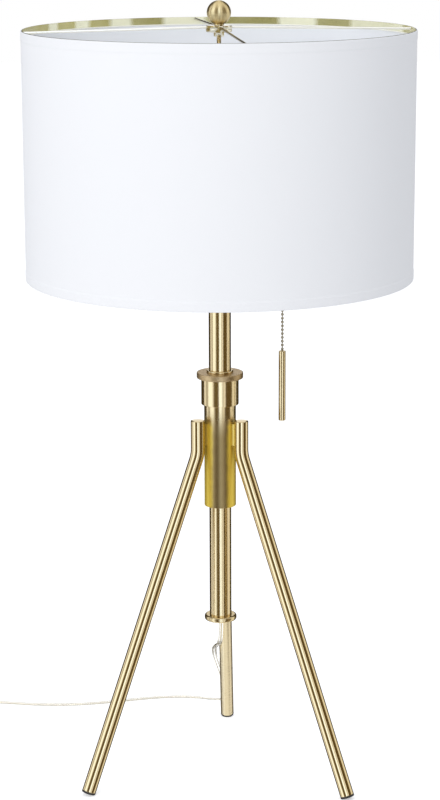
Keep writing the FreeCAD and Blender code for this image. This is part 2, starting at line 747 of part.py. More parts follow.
def cord_bushing():
    """Bushing that the cord leaves through: head under the ring, barb and taper inside the tube."""
    head = S["bushing_od"] / 2
    neck = S["ring_bore"] / 2 - S["running_gap"]
    barb = S["bushing_barb"] / 2
    tip = S["bushing_tip"] / 2
    seat = ring_foot - S["running_gap"]
    above = S["tube_foot"] + S["running_gap"]
    return turned("cord_bushing", [
        (cord_bore, bushing_foot), (head, bushing_foot), (head, seat), (neck, seat), (neck, above),
        (barb, above), (tip, above + S["bushing_rise"]), (cord_bore, above + S["bushing_rise"])])


plug_head = S["tube_head"] + S["plug_flange"]
strip_head = plug_head + S["harp_strip"]
cap_wall = S["cap_wall"]
cap_floor = strip_head + cap_wall
shell_foot = strip_head + S["cap_height"] - S["shell_lap"]
shell_radius = S["cap_od"] / 2 - cap_wall - S["seat_gap"]
liner_radius = shell_radius - cap_wall - S["seat_gap"]
core_radius = liner_radius - S["liner_wall"] - S["seat_gap"]
core_foot = shell_foot + S["core_lift"]
core_head = core_foot + S["core_height"]
arm_height = core_foot + S["arm_lift"]


def head_plug():
    """Turned plug that closes the tube's head and takes the nipple."""
    flange = S["plug_flange_od"] / 2
    spigot = tube_bore - S["seat_gap"]
    bore = S["nipple_od"] / 2 + S["seat_gap"]
    body = turned("head_plug", [
        (bore, S["tube_head"] - S["plug_spigot"]), (spigot, S["tube_head"] - S["plug_spigot"]),
        (spigot, S["tube_head"]), (flange, S["tube_head"]), (flange, plug_head), (bore, plug_head)])
    round_rims(body, S["plug_flange"] / 4, [(flange, plug_head)])
    return body


def nipple():
    """Threaded pipe that ties plug, harp base and socket cap together."""
    foot = S["tube_head"] - S["plug_spigot"] + S["harp_strip"]
    head = plug_head + S["nipple_reach"]
    return tube("nipple", S["nipple_od"] / 2, S["nipple_bore"] / 2, foot, head)


def hexagon(sketch, across_flats):
    """Regular hexagon about the origin, two of its flats facing along X."""
    flat = across_flats / 2
    corner = across_flats / root(Size(3.0, "3"))
    polygon(sketch, [(flat, -corner / 2), (flat, corner / 2), (0, corner), (-flat, corner / 2),
                     (-flat, -corner / 2), (0, -corner)])


def nipple_nut():
    """Hexagon nut inside the socket cap."""
    body = new_body("nipple_nut")
    sketch = new_sketch(body, "nipple_nut_outline", "XY_Plane", cap_floor)
    hexagon(sketch, S["hexnut_width"])
    circle(sketch, S["nipple_od"] / 2 + S["seat_gap"])
    pad(body, sketch, S["hexnut_height"])
    return body


def harp_base():
    """Flat strip under the socket with two round posts for the harp's feet."""
    half = S["harp_foot"] + S["harp_wire"]
    body = new_body("harp_base")
    sketch = new_sketch(body, "harp_base_outline", "XY_Plane", plug_head)
    edge = S["harp_base_width"] / 2
    polygon(sketch, [(-edge, -half), (edge, -half), (edge, half), (-edge, half)])
    circle(sketch, S["nipple_od"] / 2 + S["seat_gap"])
    pad(body, sketch, S["harp_strip"])
    post = new_sketch(body, "harp_post_outline", "XY_Plane", strip_head)
    for side in (1, -1):
        middle = S["harp_foot"] if side > 0 else -S["harp_foot"]
        edge = post.addGeometry(Part.Circle(Vector(0, number_of(middle), 0), PLUMB, 1), False)
        tie(post, "DistanceX", edge, 3, 0)
        tie(post, "DistanceY", edge, 3, middle)
        bind_rule(post, Sketcher.Constraint("Radius", edge, 1), S["harp_wire"] / 2)
    pad(body, post, S["harp_post"])
    return body


harp_foot_height = strip_head + S["harp_post"]


def harp():
    """Wire bow over the bulb: upright feet, wide flanks, flat crown under the shade's hub."""
    body = new_body("harp")
    foot = number_of(harp_foot_height)
    crown = number_of(S["harp_top"] - S["harp_wire"] / 2)
    rise = crown - foot
    foot_half = number_of(S["harp_foot"])
    widest = number_of(S["harp_half"])
    side = [(foot_half, 0.0), (foot_half, number_of(S["harp_upright"]))]
    side += [(across * widest, up * rise) for across, up in HARP_BOW]
    right = [Vector(across, foot + up, 0) for across, up in side]
    left = [Vector(-point.x, point.y, 0) for point in reversed(right)]
    spine = new_sketch(body, "harp_path", "YZ_Plane")
    for curve in rounded_path(right + left, ROUTE_SHARE):
        spine.addGeometry(curve, False)
    section = new_sketch(body, "harp_section", "XY_Plane", harp_foot_height)
    edge = section.addGeometry(Part.Circle(Vector(0, foot_half, 0), PLUMB, 1), False)
    tie(section, "DistanceX", edge, 3, 0)
    tie(section, "DistanceY", edge, 3, S["harp_foot"])
    bind_rule(section, Sketcher.Constraint("Radius", edge, 1), S["harp_wire"] / 2)
    doc.recompute()
    pipe = body.newObject("PartDesign::AdditivePipe", "harp_bow")
    pipe.Profile = section
    pipe.Spine = spine
    doc.recompute()
    return body


stud_seat_head = S["harp_top"] + S["stud_seat"]
hub_foot = stud_seat_head + S["running_gap"]
hub_head = hub_foot + S["hub_height"]


def finial_stud():
    """Stud brazed over the harp's crown: hollowed for the wire, with a seat for the shade's hub."""
    seat = S["stud_seat_od"] / 2
    stud = S["stud_od"] / 2
    foot = S["harp_top"] - S["harp_wire"] / 2
    head = stud_seat_head + S["stud_length"]
    form = turned("finial_stud_form", [
        (0, foot), (seat, foot), (seat, stud_seat_head), (stud, stud_seat_head), (stud, head), (0, head)])
    groove = primitive("Cylinder", "finial_stud_groove",
                       {"Radius": S["harp_wire"] / 2 + S["seat_gap"], "Height": S["stud_seat_od"] * 2},
                       (0, -S["stud_seat_od"], foot), Rotation(Vector(1, 0, 0), -90))
    return cut("finial_stud", form, groove)


def harp_clip(side, sign):
    """Sleeve that slides down over the joint between harp and base."""
    foot = strip_head + S["clip_lift"]
    bore = S["harp_wire"] / 2 + S["running_gap"]
    outer = S["clip_od"] / 2
    head = foot + S["clip_length"]
    body = tube("harp_clip_" + side, outer, bore, foot, head)
    round_rims(body, S["clip_round"], [(outer, foot), (outer, head)])
    body.Placement = Placement(Vector(0, sign * number_of(S["harp_foot"]), 0), Rotation())
    return body


keep("column_tube", column_tube())
keep("end_ring", end_ring())
keep("stop_collar", stop_collar())
keep("cord_bushing", cord_bushing())
keep("head_plug", head_plug())
keep("nipple", nipple())
keep("nipple_nut", nipple_nut())
keep("harp_base", harp_base())
keep("harp", harp())
keep("finial_stud", finial_stud())
keep("harp_clip_front", harp_clip("front", -1))
keep("harp_clip_rear", harp_clip("rear", 1))


# ---- socket --------------------------------------------------------------------------------------

def socket_cap():
    """Domed cup that screws on the nipple."""
    outer = S["cap_od"] / 2
    foot = S["cap_foot_od"] / 2
    head = strip_head + S["cap_height"]
    bore = S["nipple_od"] / 2 + S["seat_gap"]
    dome = strip_head + S["cap_dome"]
    return turned("socket_cap", [
        (bore, strip_head), (foot, strip_head), (outer, dome), (outer, head), (outer - cap_wall, head),
        (outer - cap_wall, dome), (foot - cap_wall / 2, cap_floor), (bore, cap_floor)])


def arm_hole(name, outer):
    """Bore for the chain arm through the +X side of a round wall."""
    return primitive("Cylinder", name, {"Radius": S["arm_od"] / 2 + S["seat_gap"], "Height": outer * 2},
                     (0, 0, arm_height), Rotation(Vector(0, 1, 0), 90))


def socket_shell():
    head = shell_foot + S["shell_height"]
    form = tube("socket_shell_form", shell_radius, shell_radius - cap_wall, shell_foot, head)
    return cut("socket_shell", form, arm_hole("socket_shell_hole", shell_radius))


def socket_liner():
    head = shell_foot + S["shell_height"] - S["core_lift"]
    form = tube("socket_liner_form", liner_radius, liner_radius - S["liner_wall"], shell_foot, head)
    return cut("socket_liner", form, arm_hole("socket_liner_hole", liner_radius))


def switch_block():
    """Moulded block that holds the switch, seated in the cap, with a well under it for the wires."""
    well = S["contact_od"] / 2
    well_head = core_foot + S["core_height"] / 2
    body = turned("switch_block", [
        (well, core_foot), (core_radius, core_foot), (core_radius, core_head), (0, core_head),
        (0, well_head), (well, well_head)])
    round_rims(body, S["contact_height"] / 2, [(core_radius, core_head)])
    return body


def screw_shell():
    outer = S["screw_shell_od"] / 2
    head = core_head + S["screw_shell_height"]
    return tube("screw_shell", outer, outer - S["screw_shell_wall"], core_head, head)


def centre_contact():
    radius = S["contact_od"] / 2
    head = core_head + S["contact_height"]
    body = turned("centre_contact", [(0, core_head), (radius, core_head), (radius, head), (0, head)])
    round_rims(body, S["contact_height"] / 3, [(radius, head)])
    return body


mouth_height = arm_height - S["arm_drop"]


def chain_arm():
    """Bent tube that carries the chain out of the socket, with a flared mouth looking down."""
    body = new_body("chain_arm")
    start = core_radius + S["seat_gap"]
    path = [Vector(number_of(start), number_of(arm_height), 0),
            Vector(number_of(S["arm_reach"]), number_of(arm_height), 0),
            Vector(number_of(S["arm_reach"]), number_of(mouth_height), 0)]
    spine = new_sketch(body, "chain_arm_path", "XZ_Plane")
    share = number_of(S["arm_bend"]) / number_of(S["arm_drop"])
    for curve in rounded_path(path, share):
        spine.addGeometry(curve, False)
    section = new_sketch(body, "chain_arm_section", "YZ_Plane", start)
    for radius in (S["arm_od"] / 2, S["arm_od"] / 2 - S["arm_wall"]):
        centre = Vector(0, number_of(arm_height), 0)
        edge = section.addGeometry(Part.Circle(centre, PLUMB, number_of(radius)), False)
        tie(section, "DistanceX", edge, 3, 0)
        tie(section, "DistanceY", edge, 3, arm_height)
        bind_rule(section, Sketcher.Constraint("Radius", edge, number_of(radius)), radius)
    doc.recompute()
    pipe = body.newObject("PartDesign::AdditivePipe", "chain_arm_tube")
    pipe.Profile = section
    pipe.Spine = spine
    doc.recompute()
    inner = S["arm_od"] / 2 - S["arm_wall"]
    outer = S["arm_od"] / 2
    flare = S["mouth_od"] / 2
    mouth_foot = mouth_height - S["mouth_height"]
    flare_bore = flare - S["arm_wall"]
    bell = turned("chain_arm_bell", [
        (inner, mouth_height), (outer, mouth_height), (flare, mouth_foot), (flare_bore, mouth_foot)])
    bell.Placement = Placement(Vector(number_of(S["arm_reach"]), 0, 0), Rotation())
    return fuse("chain_arm", [body, bell])


def inner_cord():
    """The cord inside the column, from the bushing up into the switch block."""
    radius = S["cord_od"] / 2
    head = core_foot + S["core_height"] / 2 - S["contact_height"]
    return turned("inner_cord", [(0, bushing_foot), (radius, bushing_foot), (radius, head), (0, head)])


keep("socket_cap", socket_cap())
keep("socket_shell", socket_shell())
keep("socket_liner", socket_liner())
keep("switch_block", switch_block())
keep("screw_shell", screw_shell())
keep("centre_contact", centre_contact())
keep("chain_arm", chain_arm())
keep("inner_cord", inner_cord())


# ---- pull chain ----------------------------------------------------------------------------------

chain_length = S["bead_pitch"] * S["chain_bead_count"]
lead_foot = mouth_height - S["mouth_height"] - S["lead_show"]
chain_foot = lead_foot - S["swing_gap"] - chain_length


def bead_string(name, beads, foot):
    """A string of beads on a wire, each bead and its wire one turned link, repeated upwards."""
    body = new_body(name)
    sketch = new_sketch(body, name + "_outline", "XZ_Plane")
    pitch = S["bead_pitch"]
    wire = S["bead_wire"] / 2
    radius = S["bead_od"] / 2
    reach = math.asin(number_of(wire) / number_of(radius))
    sweep = QUARTER - reach
    across = number_of(wire)
    head = number_of(pitch)
    low = head / 2 - number_of(radius) * math.cos(reach)
    bead = Part.ArcOfCircle(Part.Circle(Vector(0, head / 2, 0), PLUMB, number_of(radius)), -sweep, sweep)
    outline = [
        Part.LineSegment(Vector(), Vector(across, 0, 0)),
        Part.LineSegment(Vector(across, 0, 0), Vector(across, low, 0)),
        bead,
        Part.LineSegment(Vector(across, head - low, 0), Vector(across, head, 0)),
        Part.LineSegment(Vector(across, head, 0), Vector(0, head, 0)),
        Part.LineSegment(Vector(0, head, 0), Vector()),
    ]
    for curve in outline:
        sketch.addGeometry(curve, False)
    for first in range(len(outline)):
        after = (first + 1) % len(outline)
        sketch.addConstraint(Sketcher.Constraint("Coincident", first, 2, after, 1))
    tie(sketch, "DistanceX", 0, 1, 0)
    tie(sketch, "DistanceY", 0, 1, 0)
    tie(sketch, "DistanceX", 0, 2, wire)
    tie(sketch, "DistanceY", 0, 2, 0)
    tie(sketch, "DistanceX", 4, 1, wire)
    tie(sketch, "DistanceY", 4, 1, pitch)
    tie(sketch, "DistanceX", 5, 1, 0)
    tie(sketch, "DistanceY", 5, 1, pitch)
    sketch.addConstraint(Sketcher.Constraint("Vertical", 1))
    sketch.addConstraint(Sketcher.Constraint("Vertical", 3))
    tie(sketch, "DistanceX", 2, 3, 0)
    tie(sketch, "DistanceY", 2, 3, pitch / 2)
    bind_rule(sketch, Sketcher.Constraint("Radius", 2, number_of(radius)), radius)
    link = revolve(body, sketch)
    string = body.newObject("PartDesign::LinearPattern", name + "_links")
    string.Originals = [link]
    string.Direction = (sketch, ["V_Axis"])
    string.setExpression("Length", formula_of(pitch * (beads - 1)))
    string.setExpression("Occurrences", beads.formula)
    body.Tip = string
    doc.recompute()
    body.Placement = Placement(Vector(number_of(S["arm_reach"]), 0, number_of(foot)), Rotation())
    return body


def pull_rod():
    """Turned rod on the chain's last bead, which sits in a bore in its head."""
    radius = S["rod_od"] / 2
    bore = S["rod_bore"] / 2
    head = chain_foot + S["bead_pitch"]
    foot = head - S["rod_length"]
    seat = head - S["rod_bore_depth"]
    body = turned("pull_rod", [
        (0, foot), (radius, foot), (radius, head), (bore, head), (bore, seat), (0, seat)])
    round_rims(body, S["rod_round"], [(radius, foot), (radius, head)])
    body.Placement = Placement(Vector(number_of(S["arm_reach"]), 0, 0), Rotation())
    return body


keep("pull_lead", bead_string("pull_lead", S["lead_bead_count"], lead_foot))
keep("pull_chain", bead_string("pull_chain", S["chain_bead_count"], chain_foot))
keep("pull_rod", pull_rod())


# ---- shade and finial ----------------------------------------------------------------------------

shade_radius = S["shade_od"] / 2
shade_bore = shade_radius - S["shade_wall"]
shade_head = S["shade_foot"] + S["shade_height"]
band_radius = shade_bore - S["seat_gap"]
spoke_inner = S["hub_od"] / 2
spoke_outer = band_radius - S["band_thickness"]
finial_foot = hub_head + S["running_gap"]


def shade_drum():
    return tube("shade_drum", shade_radius, shade_bore, S["shade_foot"], shade_head)


def shade_band():
    return tube("shade_band", band_radius, spoke_outer, shade_head - S["band_height"], shade_head)


def shade_hoop():
    """Wire hoop that keeps the lower rim round."""
    wire = S["hoop_wire"] / 2
    return primitive("Torus", "shade_hoop", {"Radius1": band_radius - wire, "Radius2": wire},
                     (0, 0, S["shade_foot"] + wire))


def spider_hub():
    """Round hub that the finial clamps."""
    outer = S["hub_od"] / 2
    body = tube("spider_hub", outer, S["hub_bore"] / 2, hub_foot, hub_head)
    round_rims(body, S["hub_edge"], [(outer, hub_foot), (outer, hub_head)])
    return body


def spider_spokes():
    """Straight spokes from the hub down to the band, one node for the set."""
    inner = Vector(number_of(spoke_inner - S["spoke_sink"]), 0, number_of(hub_foot + S["spoke_rise"]))
    outer = Vector(number_of(spoke_outer), 0, number_of(shade_head - S["spoke_drop"]))
    along = outer - inner
    tip_gap = number_of(S["seat_gap"]) + number_of(S["spoke_od"]) / 2 * abs(along.z) / along.Length
    spokes = []
    for step in range(round(number_of(S["spoke_count"]))):
        angle = number_of(S["spoke_turn_angle"]) + 360.0 * step / number_of(S["spoke_count"])
        spoke = primitive("Cylinder", f"spider_spoke_{step + 1}", {"Radius": S["spoke_od"] / 2})
        spoke.Height = along.Length - 2 * tip_gap
        start = inner + Vector(along).normalize() * tip_gap
        around = Rotation(PLUMB, angle)
        spoke.Placement = Placement(around.multVec(start), around.multiply(Rotation(PLUMB, along)))
        spokes.append(spoke)
    return group("spider_spokes", spokes)


def finial():
    """Ball on a short neck, bored for the stud."""
    radius = S["ball_od"] / 2
    neck = S["ball_neck_od"] / 2
    lift = root(radius * radius - neck * neck)
    middle = finial_foot + S["ball_neck"] + lift
    ball = primitive("Sphere", "finial_ball", {"Radius": radius}, (0, 0, middle))
    base = primitive("Cylinder", "finial_neck", {"Radius": neck, "Height": S["ball_neck"] + radius / 2},
                     (0, 0, finial_foot))
    bore = primitive("Cylinder", "finial_bore",
                     {"Radius": S["stud_od"] / 2 + S["running_gap"], "Height": S["ball_bore_depth"]},
                     (0, 0, finial_foot))
    return cut("finial", fuse("finial_form", [ball, base]), bore)


keep("shade_drum", shade_drum())
keep("shade_band", shade_band())
keep("shade_hoop", shade_hoop())
keep("spider_hub", spider_hub())
keep("spider_spokes", spider_spokes())
keep("finial", finial())


# ---- bulb ----------------------------------------------------------------------------------------

bulb_foot = core_head + S["contact_height"] + S["bulb_lift"]
bulb_base_radius = S["screw_shell_od"] / 2 - S["screw_shell_wall"] - S["running_gap"]
base_tip = S["bulb_base_length"] / 8
base_head = bulb_foot + S["bulb_base_length"]


def bulb_form(name, skin):
    """The bulb's outline less a skin: a ball, a tangent flank down to the neck, and the neck."""
    radius = S["bulb_od"] / 2 - skin
    neck = S["bulb_neck_od"] / 2 - skin
    middle = bulb_foot + S["bulb_length"] - S["bulb_od"] / 2
    flank_radius = radius * cosine(S["bulb_slope_angle"])
    flank_head = middle - radius * sine(S["bulb_slope_angle"])
    flank_height = (flank_radius - neck) / tangent(S["bulb_slope_angle"])
    flank_foot = flank_head - flank_height
    ball = primitive("Sphere", name + "_ball", {"Radius": radius}, (0, 0, middle))
    flank_sizes = {"Radius1": neck, "Radius2": flank_radius, "Height": flank_height}
    flank = primitive("Cone", name + "_flank", flank_sizes, (0, 0, flank_foot))
    stem = primitive("Cylinder", name + "_stem",
                     {"Radius": neck, "Height": flank_foot - base_head - skin}, (0, 0, base_head + skin))
    return fuse(name, [ball, flank, stem])


def bulb_globe():
    nothing = Size(0.0, "0")
    return cut("bulb_globe", bulb_form("bulb_outside", nothing), bulb_form("bulb_inside", S["bulb_wall"]))


def bulb_base():
    """Screw base, narrowing to its tip."""
    tip = S["contact_od"] / 2 + S["contact_height"]
    foot = bulb_foot + base_tip / 2
    shoulder = bulb_foot + base_tip * 2
    return turned("bulb_base", [
        (0, foot), (tip, foot), (bulb_base_radius, shoulder), (bulb_base_radius, base_head),
        (0, base_head)])


def bulb_contact():
    """Solder tip in the middle of the base."""
    radius = S["contact_od"] / 3
    head = bulb_foot + base_tip / 2
    return turned("bulb_contact", [(0, bulb_foot), (radius, bulb_foot), (radius, head), (0, head)])


keep("bulb_globe", bulb_globe())
keep("bulb_base", bulb_base())
keep("bulb_contact", bulb_contact())


# ---- cord, coil, tie and plug --------------------------------------------------------------------

cord_diameter = number_of(S["cord_od"])
cord_radius = cord_diameter / 2
coil_middle = Vector(number_of(S["coil_x"]), number_of(S["coil_y"]), 0)
coil_pitch = number_of(S["coil_pitch"])
low_turns = number_of(S["coil_low_turns"])
high_turns = number_of(S["coil_high_turns"])
outer_turn = number_of(S["coil_radius"])
inner_turn = outer_turn - coil_pitch * low_turns
low_layer = cord_radius + number_of(S["tie_thickness"]) + number_of(S["running_gap"])
high_layer = low_layer + coil_pitch


def coil_station(turn):
    """Point and heading of the coil after so many turns: in, up over half a turn, out again."""
    climb_end = low_turns + 0.5
    if turn <= low_turns:
        radius = outer_turn - coil_pitch * turn
        growth = -coil_pitch
    elif turn < climb_end:
        radius = inner_turn - coil_pitch / 4
        growth = 0.0
    else:
        radius = inner_turn + coil_pitch * (turn - climb_end)
        growth = coil_pitch
    share = min(max((turn - low_turns) / 0.5, 0.0), 1.0)
    height = low_layer + coil_pitch * share
    angle = QUARTER + 2 * math.pi * turn
    outward = Vector(math.cos(angle), math.sin(angle), 0)
    around = Vector(-math.sin(angle), math.cos(angle), 0)
    rise = coil_pitch / (math.pi * radius) if 0.0 < share < 1.0 else 0.0
    heading = around + outward * (growth / (2 * math.pi * radius)) + Vector(0, 0, rise)
    return coil_middle + outward * radius + Vector(0, 0, height), heading.normalize()


def coil_curves():
    """The coil's path: a straight end, biarcs of a quarter turn each, a tail and a straight end."""
    total = low_turns + 0.5 + high_turns
    steps = round(total * 4)
    stations = [coil_station(step / 4) for step in range(steps + 1)]
    start, heading = stations[0]
    curves = [Part.LineSegment(start - heading * cord_diameter, start)]
    for (point, way), (next_point, next_way) in zip(stations, stations[1:]):
        curves += biarc(point, way, next_point, next_way)
    last, heading = stations[-1]
    away = heading.cross(PLUMB)
    tail = last + heading * number_of(S["tail_reach"]) + away * number_of(S["tail_offset"])
    tail_heading = Rotation(PLUMB, -number_of(S["tail_turn_angle"])).multVec(heading)
    curves += biarc(last, heading, tail, tail_heading)
    end = tail + tail_heading * cord_diameter
    curves.append(Part.LineSegment(tail, end))
    return curves, end, tail_heading


def least_gap(curves):
    """Least distance between the cord's surfaces at places more than a bend apart."""
    apart = math.pi * inner_turn
    points = []
    travelled = 0.0
    for curve in curves:
        length = curve.length()
        count = max(int(length / cord_radius), 1)
        for step in range(count):
            parameter = curve.parameterAtDistance(length * step / count, curve.FirstParameter)
            points.append((travelled + length * step / count, curve.value(parameter)))
        travelled += length
    gaps = [(here - there).Length - cord_diameter
            for index, (way, here) in enumerate(points)
            for other_way, there in points[index + 1:] if other_way - way > apart]
    return min(gaps)


def solid_node(name, shape):
    item = doc.addObject("Part::Feature", name)
    item.Shape = shape
    return item


def check_volume(name, solid, length):
    expected = math.pi * cord_radius ** 2 * length
    print(f"{name}: length {length:.1f} mm, volume against section times length "
          f"{solid.Volume / expected:.4f}")
    if abs(solid.Volume / expected - 1) > VOLUME_SHARE:
        raise RuntimeError(f"{name}: the tube's volume is wrong")


coil_path, cord_end, cord_heading = coil_curves()
coil_solid, coil_length = swept_cord(coil_path, cord_diameter)
coil_start = coil_path[0].value(coil_path[0].FirstParameter)
outlet = Vector(0, 0, number_of(bushing_foot))
route = [outlet] + [Vector(*point) for point in CORD_ROUTE] + [coil_start]
cord_curves = rounded_path(route, ROUTE_SHARE)
cord_solid, cord_length = swept_cord(cord_curves, cord_diameter)
bend_radii = [bend.toShape().Curve.Radius for bend in cord_curves[1::2]]
print("cord: bend radii in mm", [round(radius, 1) for radius in bend_radii])
check_volume("power_cord", cord_solid, cord_length)
check_volume("cord_coil", coil_solid, coil_length)
print(f"cord_coil: least gap to itself {least_gap(coil_path):.2f} mm")
print(f"cord: whole length {cord_length + coil_length:.0f} mm")


def cord_tie():
    """Flat strap round the coil's bundle on its -Y side."""
    gap = number_of(S["running_gap"])
    thickness = number_of(S["tie_thickness"])
    width = number_of(S["tie_width"])
    slack = width * width / (8 * inner_turn) + coil_pitch * width / (4 * math.pi * inner_turn) + gap
    near = inner_turn - cord_radius - slack
    low_reach = outer_turn - coil_pitch / 2 + cord_radius + gap
    high_reach = inner_turn + coil_pitch * math.floor(high_turns) + cord_radius + slack
    far = max(low_reach, high_reach)
    foot = low_layer - cord_radius - gap
    head = high_layer + cord_radius + gap
    body = new_body("cord_tie")
    sketch = new_sketch(body, "cord_tie_outline", "YZ_Plane")
    for grow in (thickness, 0.0):
        low, high = -far - grow, -near + grow
        corners = [(low, foot - grow), (high, foot - grow), (high, head + grow), (low, head + grow)]
        first = sketch.GeometryCount
        for here, there in zip(corners, corners[1:] + corners[:1]):
            sketch.addGeometry(Part.LineSegment(Vector(*here, 0), Vector(*there, 0)), False)
        for i in range(len(corners)):
            after = (i + 1) % len(corners)
            sketch.addConstraint(Sketcher.Constraint("Coincident", first + i, 2, first + after, 1))
    strap = pad(body, sketch, S["tie_width"])
    strap.SideType = "Symmetric"
    doc.recompute()
    body.Placement = Placement(coil_middle, Rotation())
    return body


plug_place = Placement(cord_end, Rotation(Vector(1, 0, 0), cord_heading))
plug_half_height = high_layer


def obround(sketch, width, height):
    """Two half circles joined by straight sides, lying along the sketch's horizontal axis."""
    half = (width - height) / 2
    radius = height / 2
    left = Part.Circle(Vector(-half, 0, 0), PLUMB, radius)
    right = Part.Circle(Vector(half, 0, 0), PLUMB, radius)
    sketch.addGeometry(Part.ArcOfCircle(right, -QUARTER, QUARTER), False)
    sketch.addGeometry(Part.LineSegment(Vector(half, radius, 0), Vector(-half, radius, 0)), False)
    sketch.addGeometry(Part.ArcOfCircle(left, QUARTER, 3 * QUARTER), False)
    sketch.addGeometry(Part.LineSegment(Vector(-half, -radius, 0), Vector(half, -radius, 0)), False)


def mains_plug():
    """Moulded plug: narrow where the cord enters, widening to a straight front."""
    body = new_body("mains_plug")
    height = plug_half_height * 2
    rear = new_sketch(body, "mains_plug_rear", "YZ_Plane")
    obround(rear, number_of(S["plug_rear_width"]), number_of(S["plug_rear_height"]))
    middle = new_sketch(body, "mains_plug_middle", "YZ_Plane", S["plug_length"] - S["plug_front"])
    obround(middle, number_of(S["plug_width"]), height)
    doc.recompute()
    shoulder = body.newObject("PartDesign::AdditiveLoft", "mains_plug_shoulder")
    shoulder.Profile = rear
    shoulder.Sections = [middle]
    doc.recompute()
    front = new_sketch(body, "mains_plug_front", "YZ_Plane", S["plug_length"] - S["plug_front"])
    obround(front, number_of(S["plug_width"]), height)
    pad(body, front, S["plug_front"])
    body.Placement = plug_place
    return body


def plug_blades():
    """Two flat blades side by side, bevelled at their tips."""
    blades = []
    for side, sign in (("left", 1), ("right", -1)):
        body = new_body("plug_blade_" + side)
        sketch = new_sketch(body, f"plug_blade_{side}_outline", "XZ_Plane")
        half = S["blade_width"] / 2
        bevel = S["blade_thickness"]
        foot = S["plug_length"]
        tip = foot + S["blade_length"]
        polygon(sketch, [(foot, -half), (tip - bevel, -half), (tip, bevel - half), (tip, half - bevel),
                         (tip - bevel, half), (foot, half)])
        blade = pad(body, sketch, S["blade_thickness"])
        blade.SideType = "Symmetric"
        doc.recompute()
        shift = Vector(0, sign * number_of(S["blade_pitch"]) / 2, 0)
        body.Placement = plug_place.multiply(Placement(shift, Rotation()))
        blades.append(body)
    return group("plug_blades", blades)


keep("power_cord", solid_node("power_cord", cord_solid))
keep("cord_coil", solid_node("cord_coil", coil_solid))
keep("cord_tie", cord_tie())
keep("mains_plug", mains_plug())
keep("plug_blades", plug_blades())


# ---- check and write -----------------------------------------------------------------------------

doc.recompute()
for item in doc.Objects:
    if "Invalid" in item.State or "Error" in item.State:
        raise RuntimeError(f"{item.Label}: {item.State}")
for name, item in nodes.items():
    shape = item.Shape
    if shape.isNull() or not shape.isValid() or shape.Volume <= 0:
        raise RuntimeError(f"{name}: no valid shape")
os.makedirs("parts", exist_ok=True)
for name, item in nodes.items():
    item.Shape.exportStep(f"parts/{name}.step")
print(f"{len(nodes)} parts written")
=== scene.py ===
import math

import bmesh
import bpy
import numpy as np
from bpy.props import FloatProperty, FloatVectorProperty, IntProperty, PointerProperty
from mathutils import Matrix, Vector


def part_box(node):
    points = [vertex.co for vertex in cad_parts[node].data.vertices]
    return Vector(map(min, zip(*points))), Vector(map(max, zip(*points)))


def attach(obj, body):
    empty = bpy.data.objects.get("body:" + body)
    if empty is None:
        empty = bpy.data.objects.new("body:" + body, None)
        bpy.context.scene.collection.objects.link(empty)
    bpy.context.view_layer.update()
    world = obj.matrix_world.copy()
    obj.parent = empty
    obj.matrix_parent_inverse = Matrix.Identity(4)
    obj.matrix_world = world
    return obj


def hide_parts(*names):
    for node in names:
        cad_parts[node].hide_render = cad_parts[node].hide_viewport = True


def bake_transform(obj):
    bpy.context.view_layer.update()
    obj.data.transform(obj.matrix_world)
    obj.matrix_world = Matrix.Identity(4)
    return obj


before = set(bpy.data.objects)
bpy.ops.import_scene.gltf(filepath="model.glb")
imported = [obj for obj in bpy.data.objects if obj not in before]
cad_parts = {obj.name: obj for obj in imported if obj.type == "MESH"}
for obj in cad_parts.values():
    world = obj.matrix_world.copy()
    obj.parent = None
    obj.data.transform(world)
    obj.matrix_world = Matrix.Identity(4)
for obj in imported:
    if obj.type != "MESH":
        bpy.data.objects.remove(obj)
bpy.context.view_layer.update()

bl_info = {
    "name": "Tripod Table Lamp",
    "version": (1, 0, 0),
    "blender": (4, 5, 0),
    "location": "View3D > Sidebar > Lamp",
    "description": "Dresses a tripod table lamp: brass tubes, linen drum shade, pull chain and cord",
    "category": "Object",
}

MM = 0.001
TURN = 2 * math.pi
LEG_SIDES = {"left": 210.0, "right": 330.0, "rear": 90.0}

# The cord's route in millimetres: out of the bushing, down behind the rear leg and over the floor.
CORD_ROUTE = [
    (0.0, 0.0, 161.3), (0.0, 0.0, 150.0), (-0.6, 4.9, 139.0), (-1.3, 14.4, 131.0), (-2.4, 34.0, 123.5),
    (-5.0, 71.0, 108.5), (-7.2, 105.0, 94.0), (-6.5, 133.0, 74.5), (0.0, 150.0, 49.5),
    (6.5, 162.0, 24.5), (5.0, 176.0, 9.0), (-7.0, 192.0, 2.9), (-31.0, 203.5, 1.7),
    (-69.0, 203.0, 1.7), (-114.0, 190.0, 1.7), (-160.0, 179.0, 1.7), (-206.0, 179.5, 1.7),
    (-246.0, 187.5, 1.8),
]


# ---- sizes and colours -----------------------------------------------------------------------------

def length(millimetres, about):
    """A length, given in millimetres, that a user may change."""
    return FloatProperty(description=about, default=millimetres * MM, min=0.0, unit="LENGTH", precision=5)


def tilt(degrees, about):
    """An angle, given in degrees, that a user may change."""
    return FloatProperty(description=about, default=math.radians(degrees), subtype="ANGLE")


def tint(colour, about):
    """A colour that a user may change."""
    return FloatVectorProperty(description=about, default=colour, size=3, subtype="COLOR", min=0.0, max=1.0)


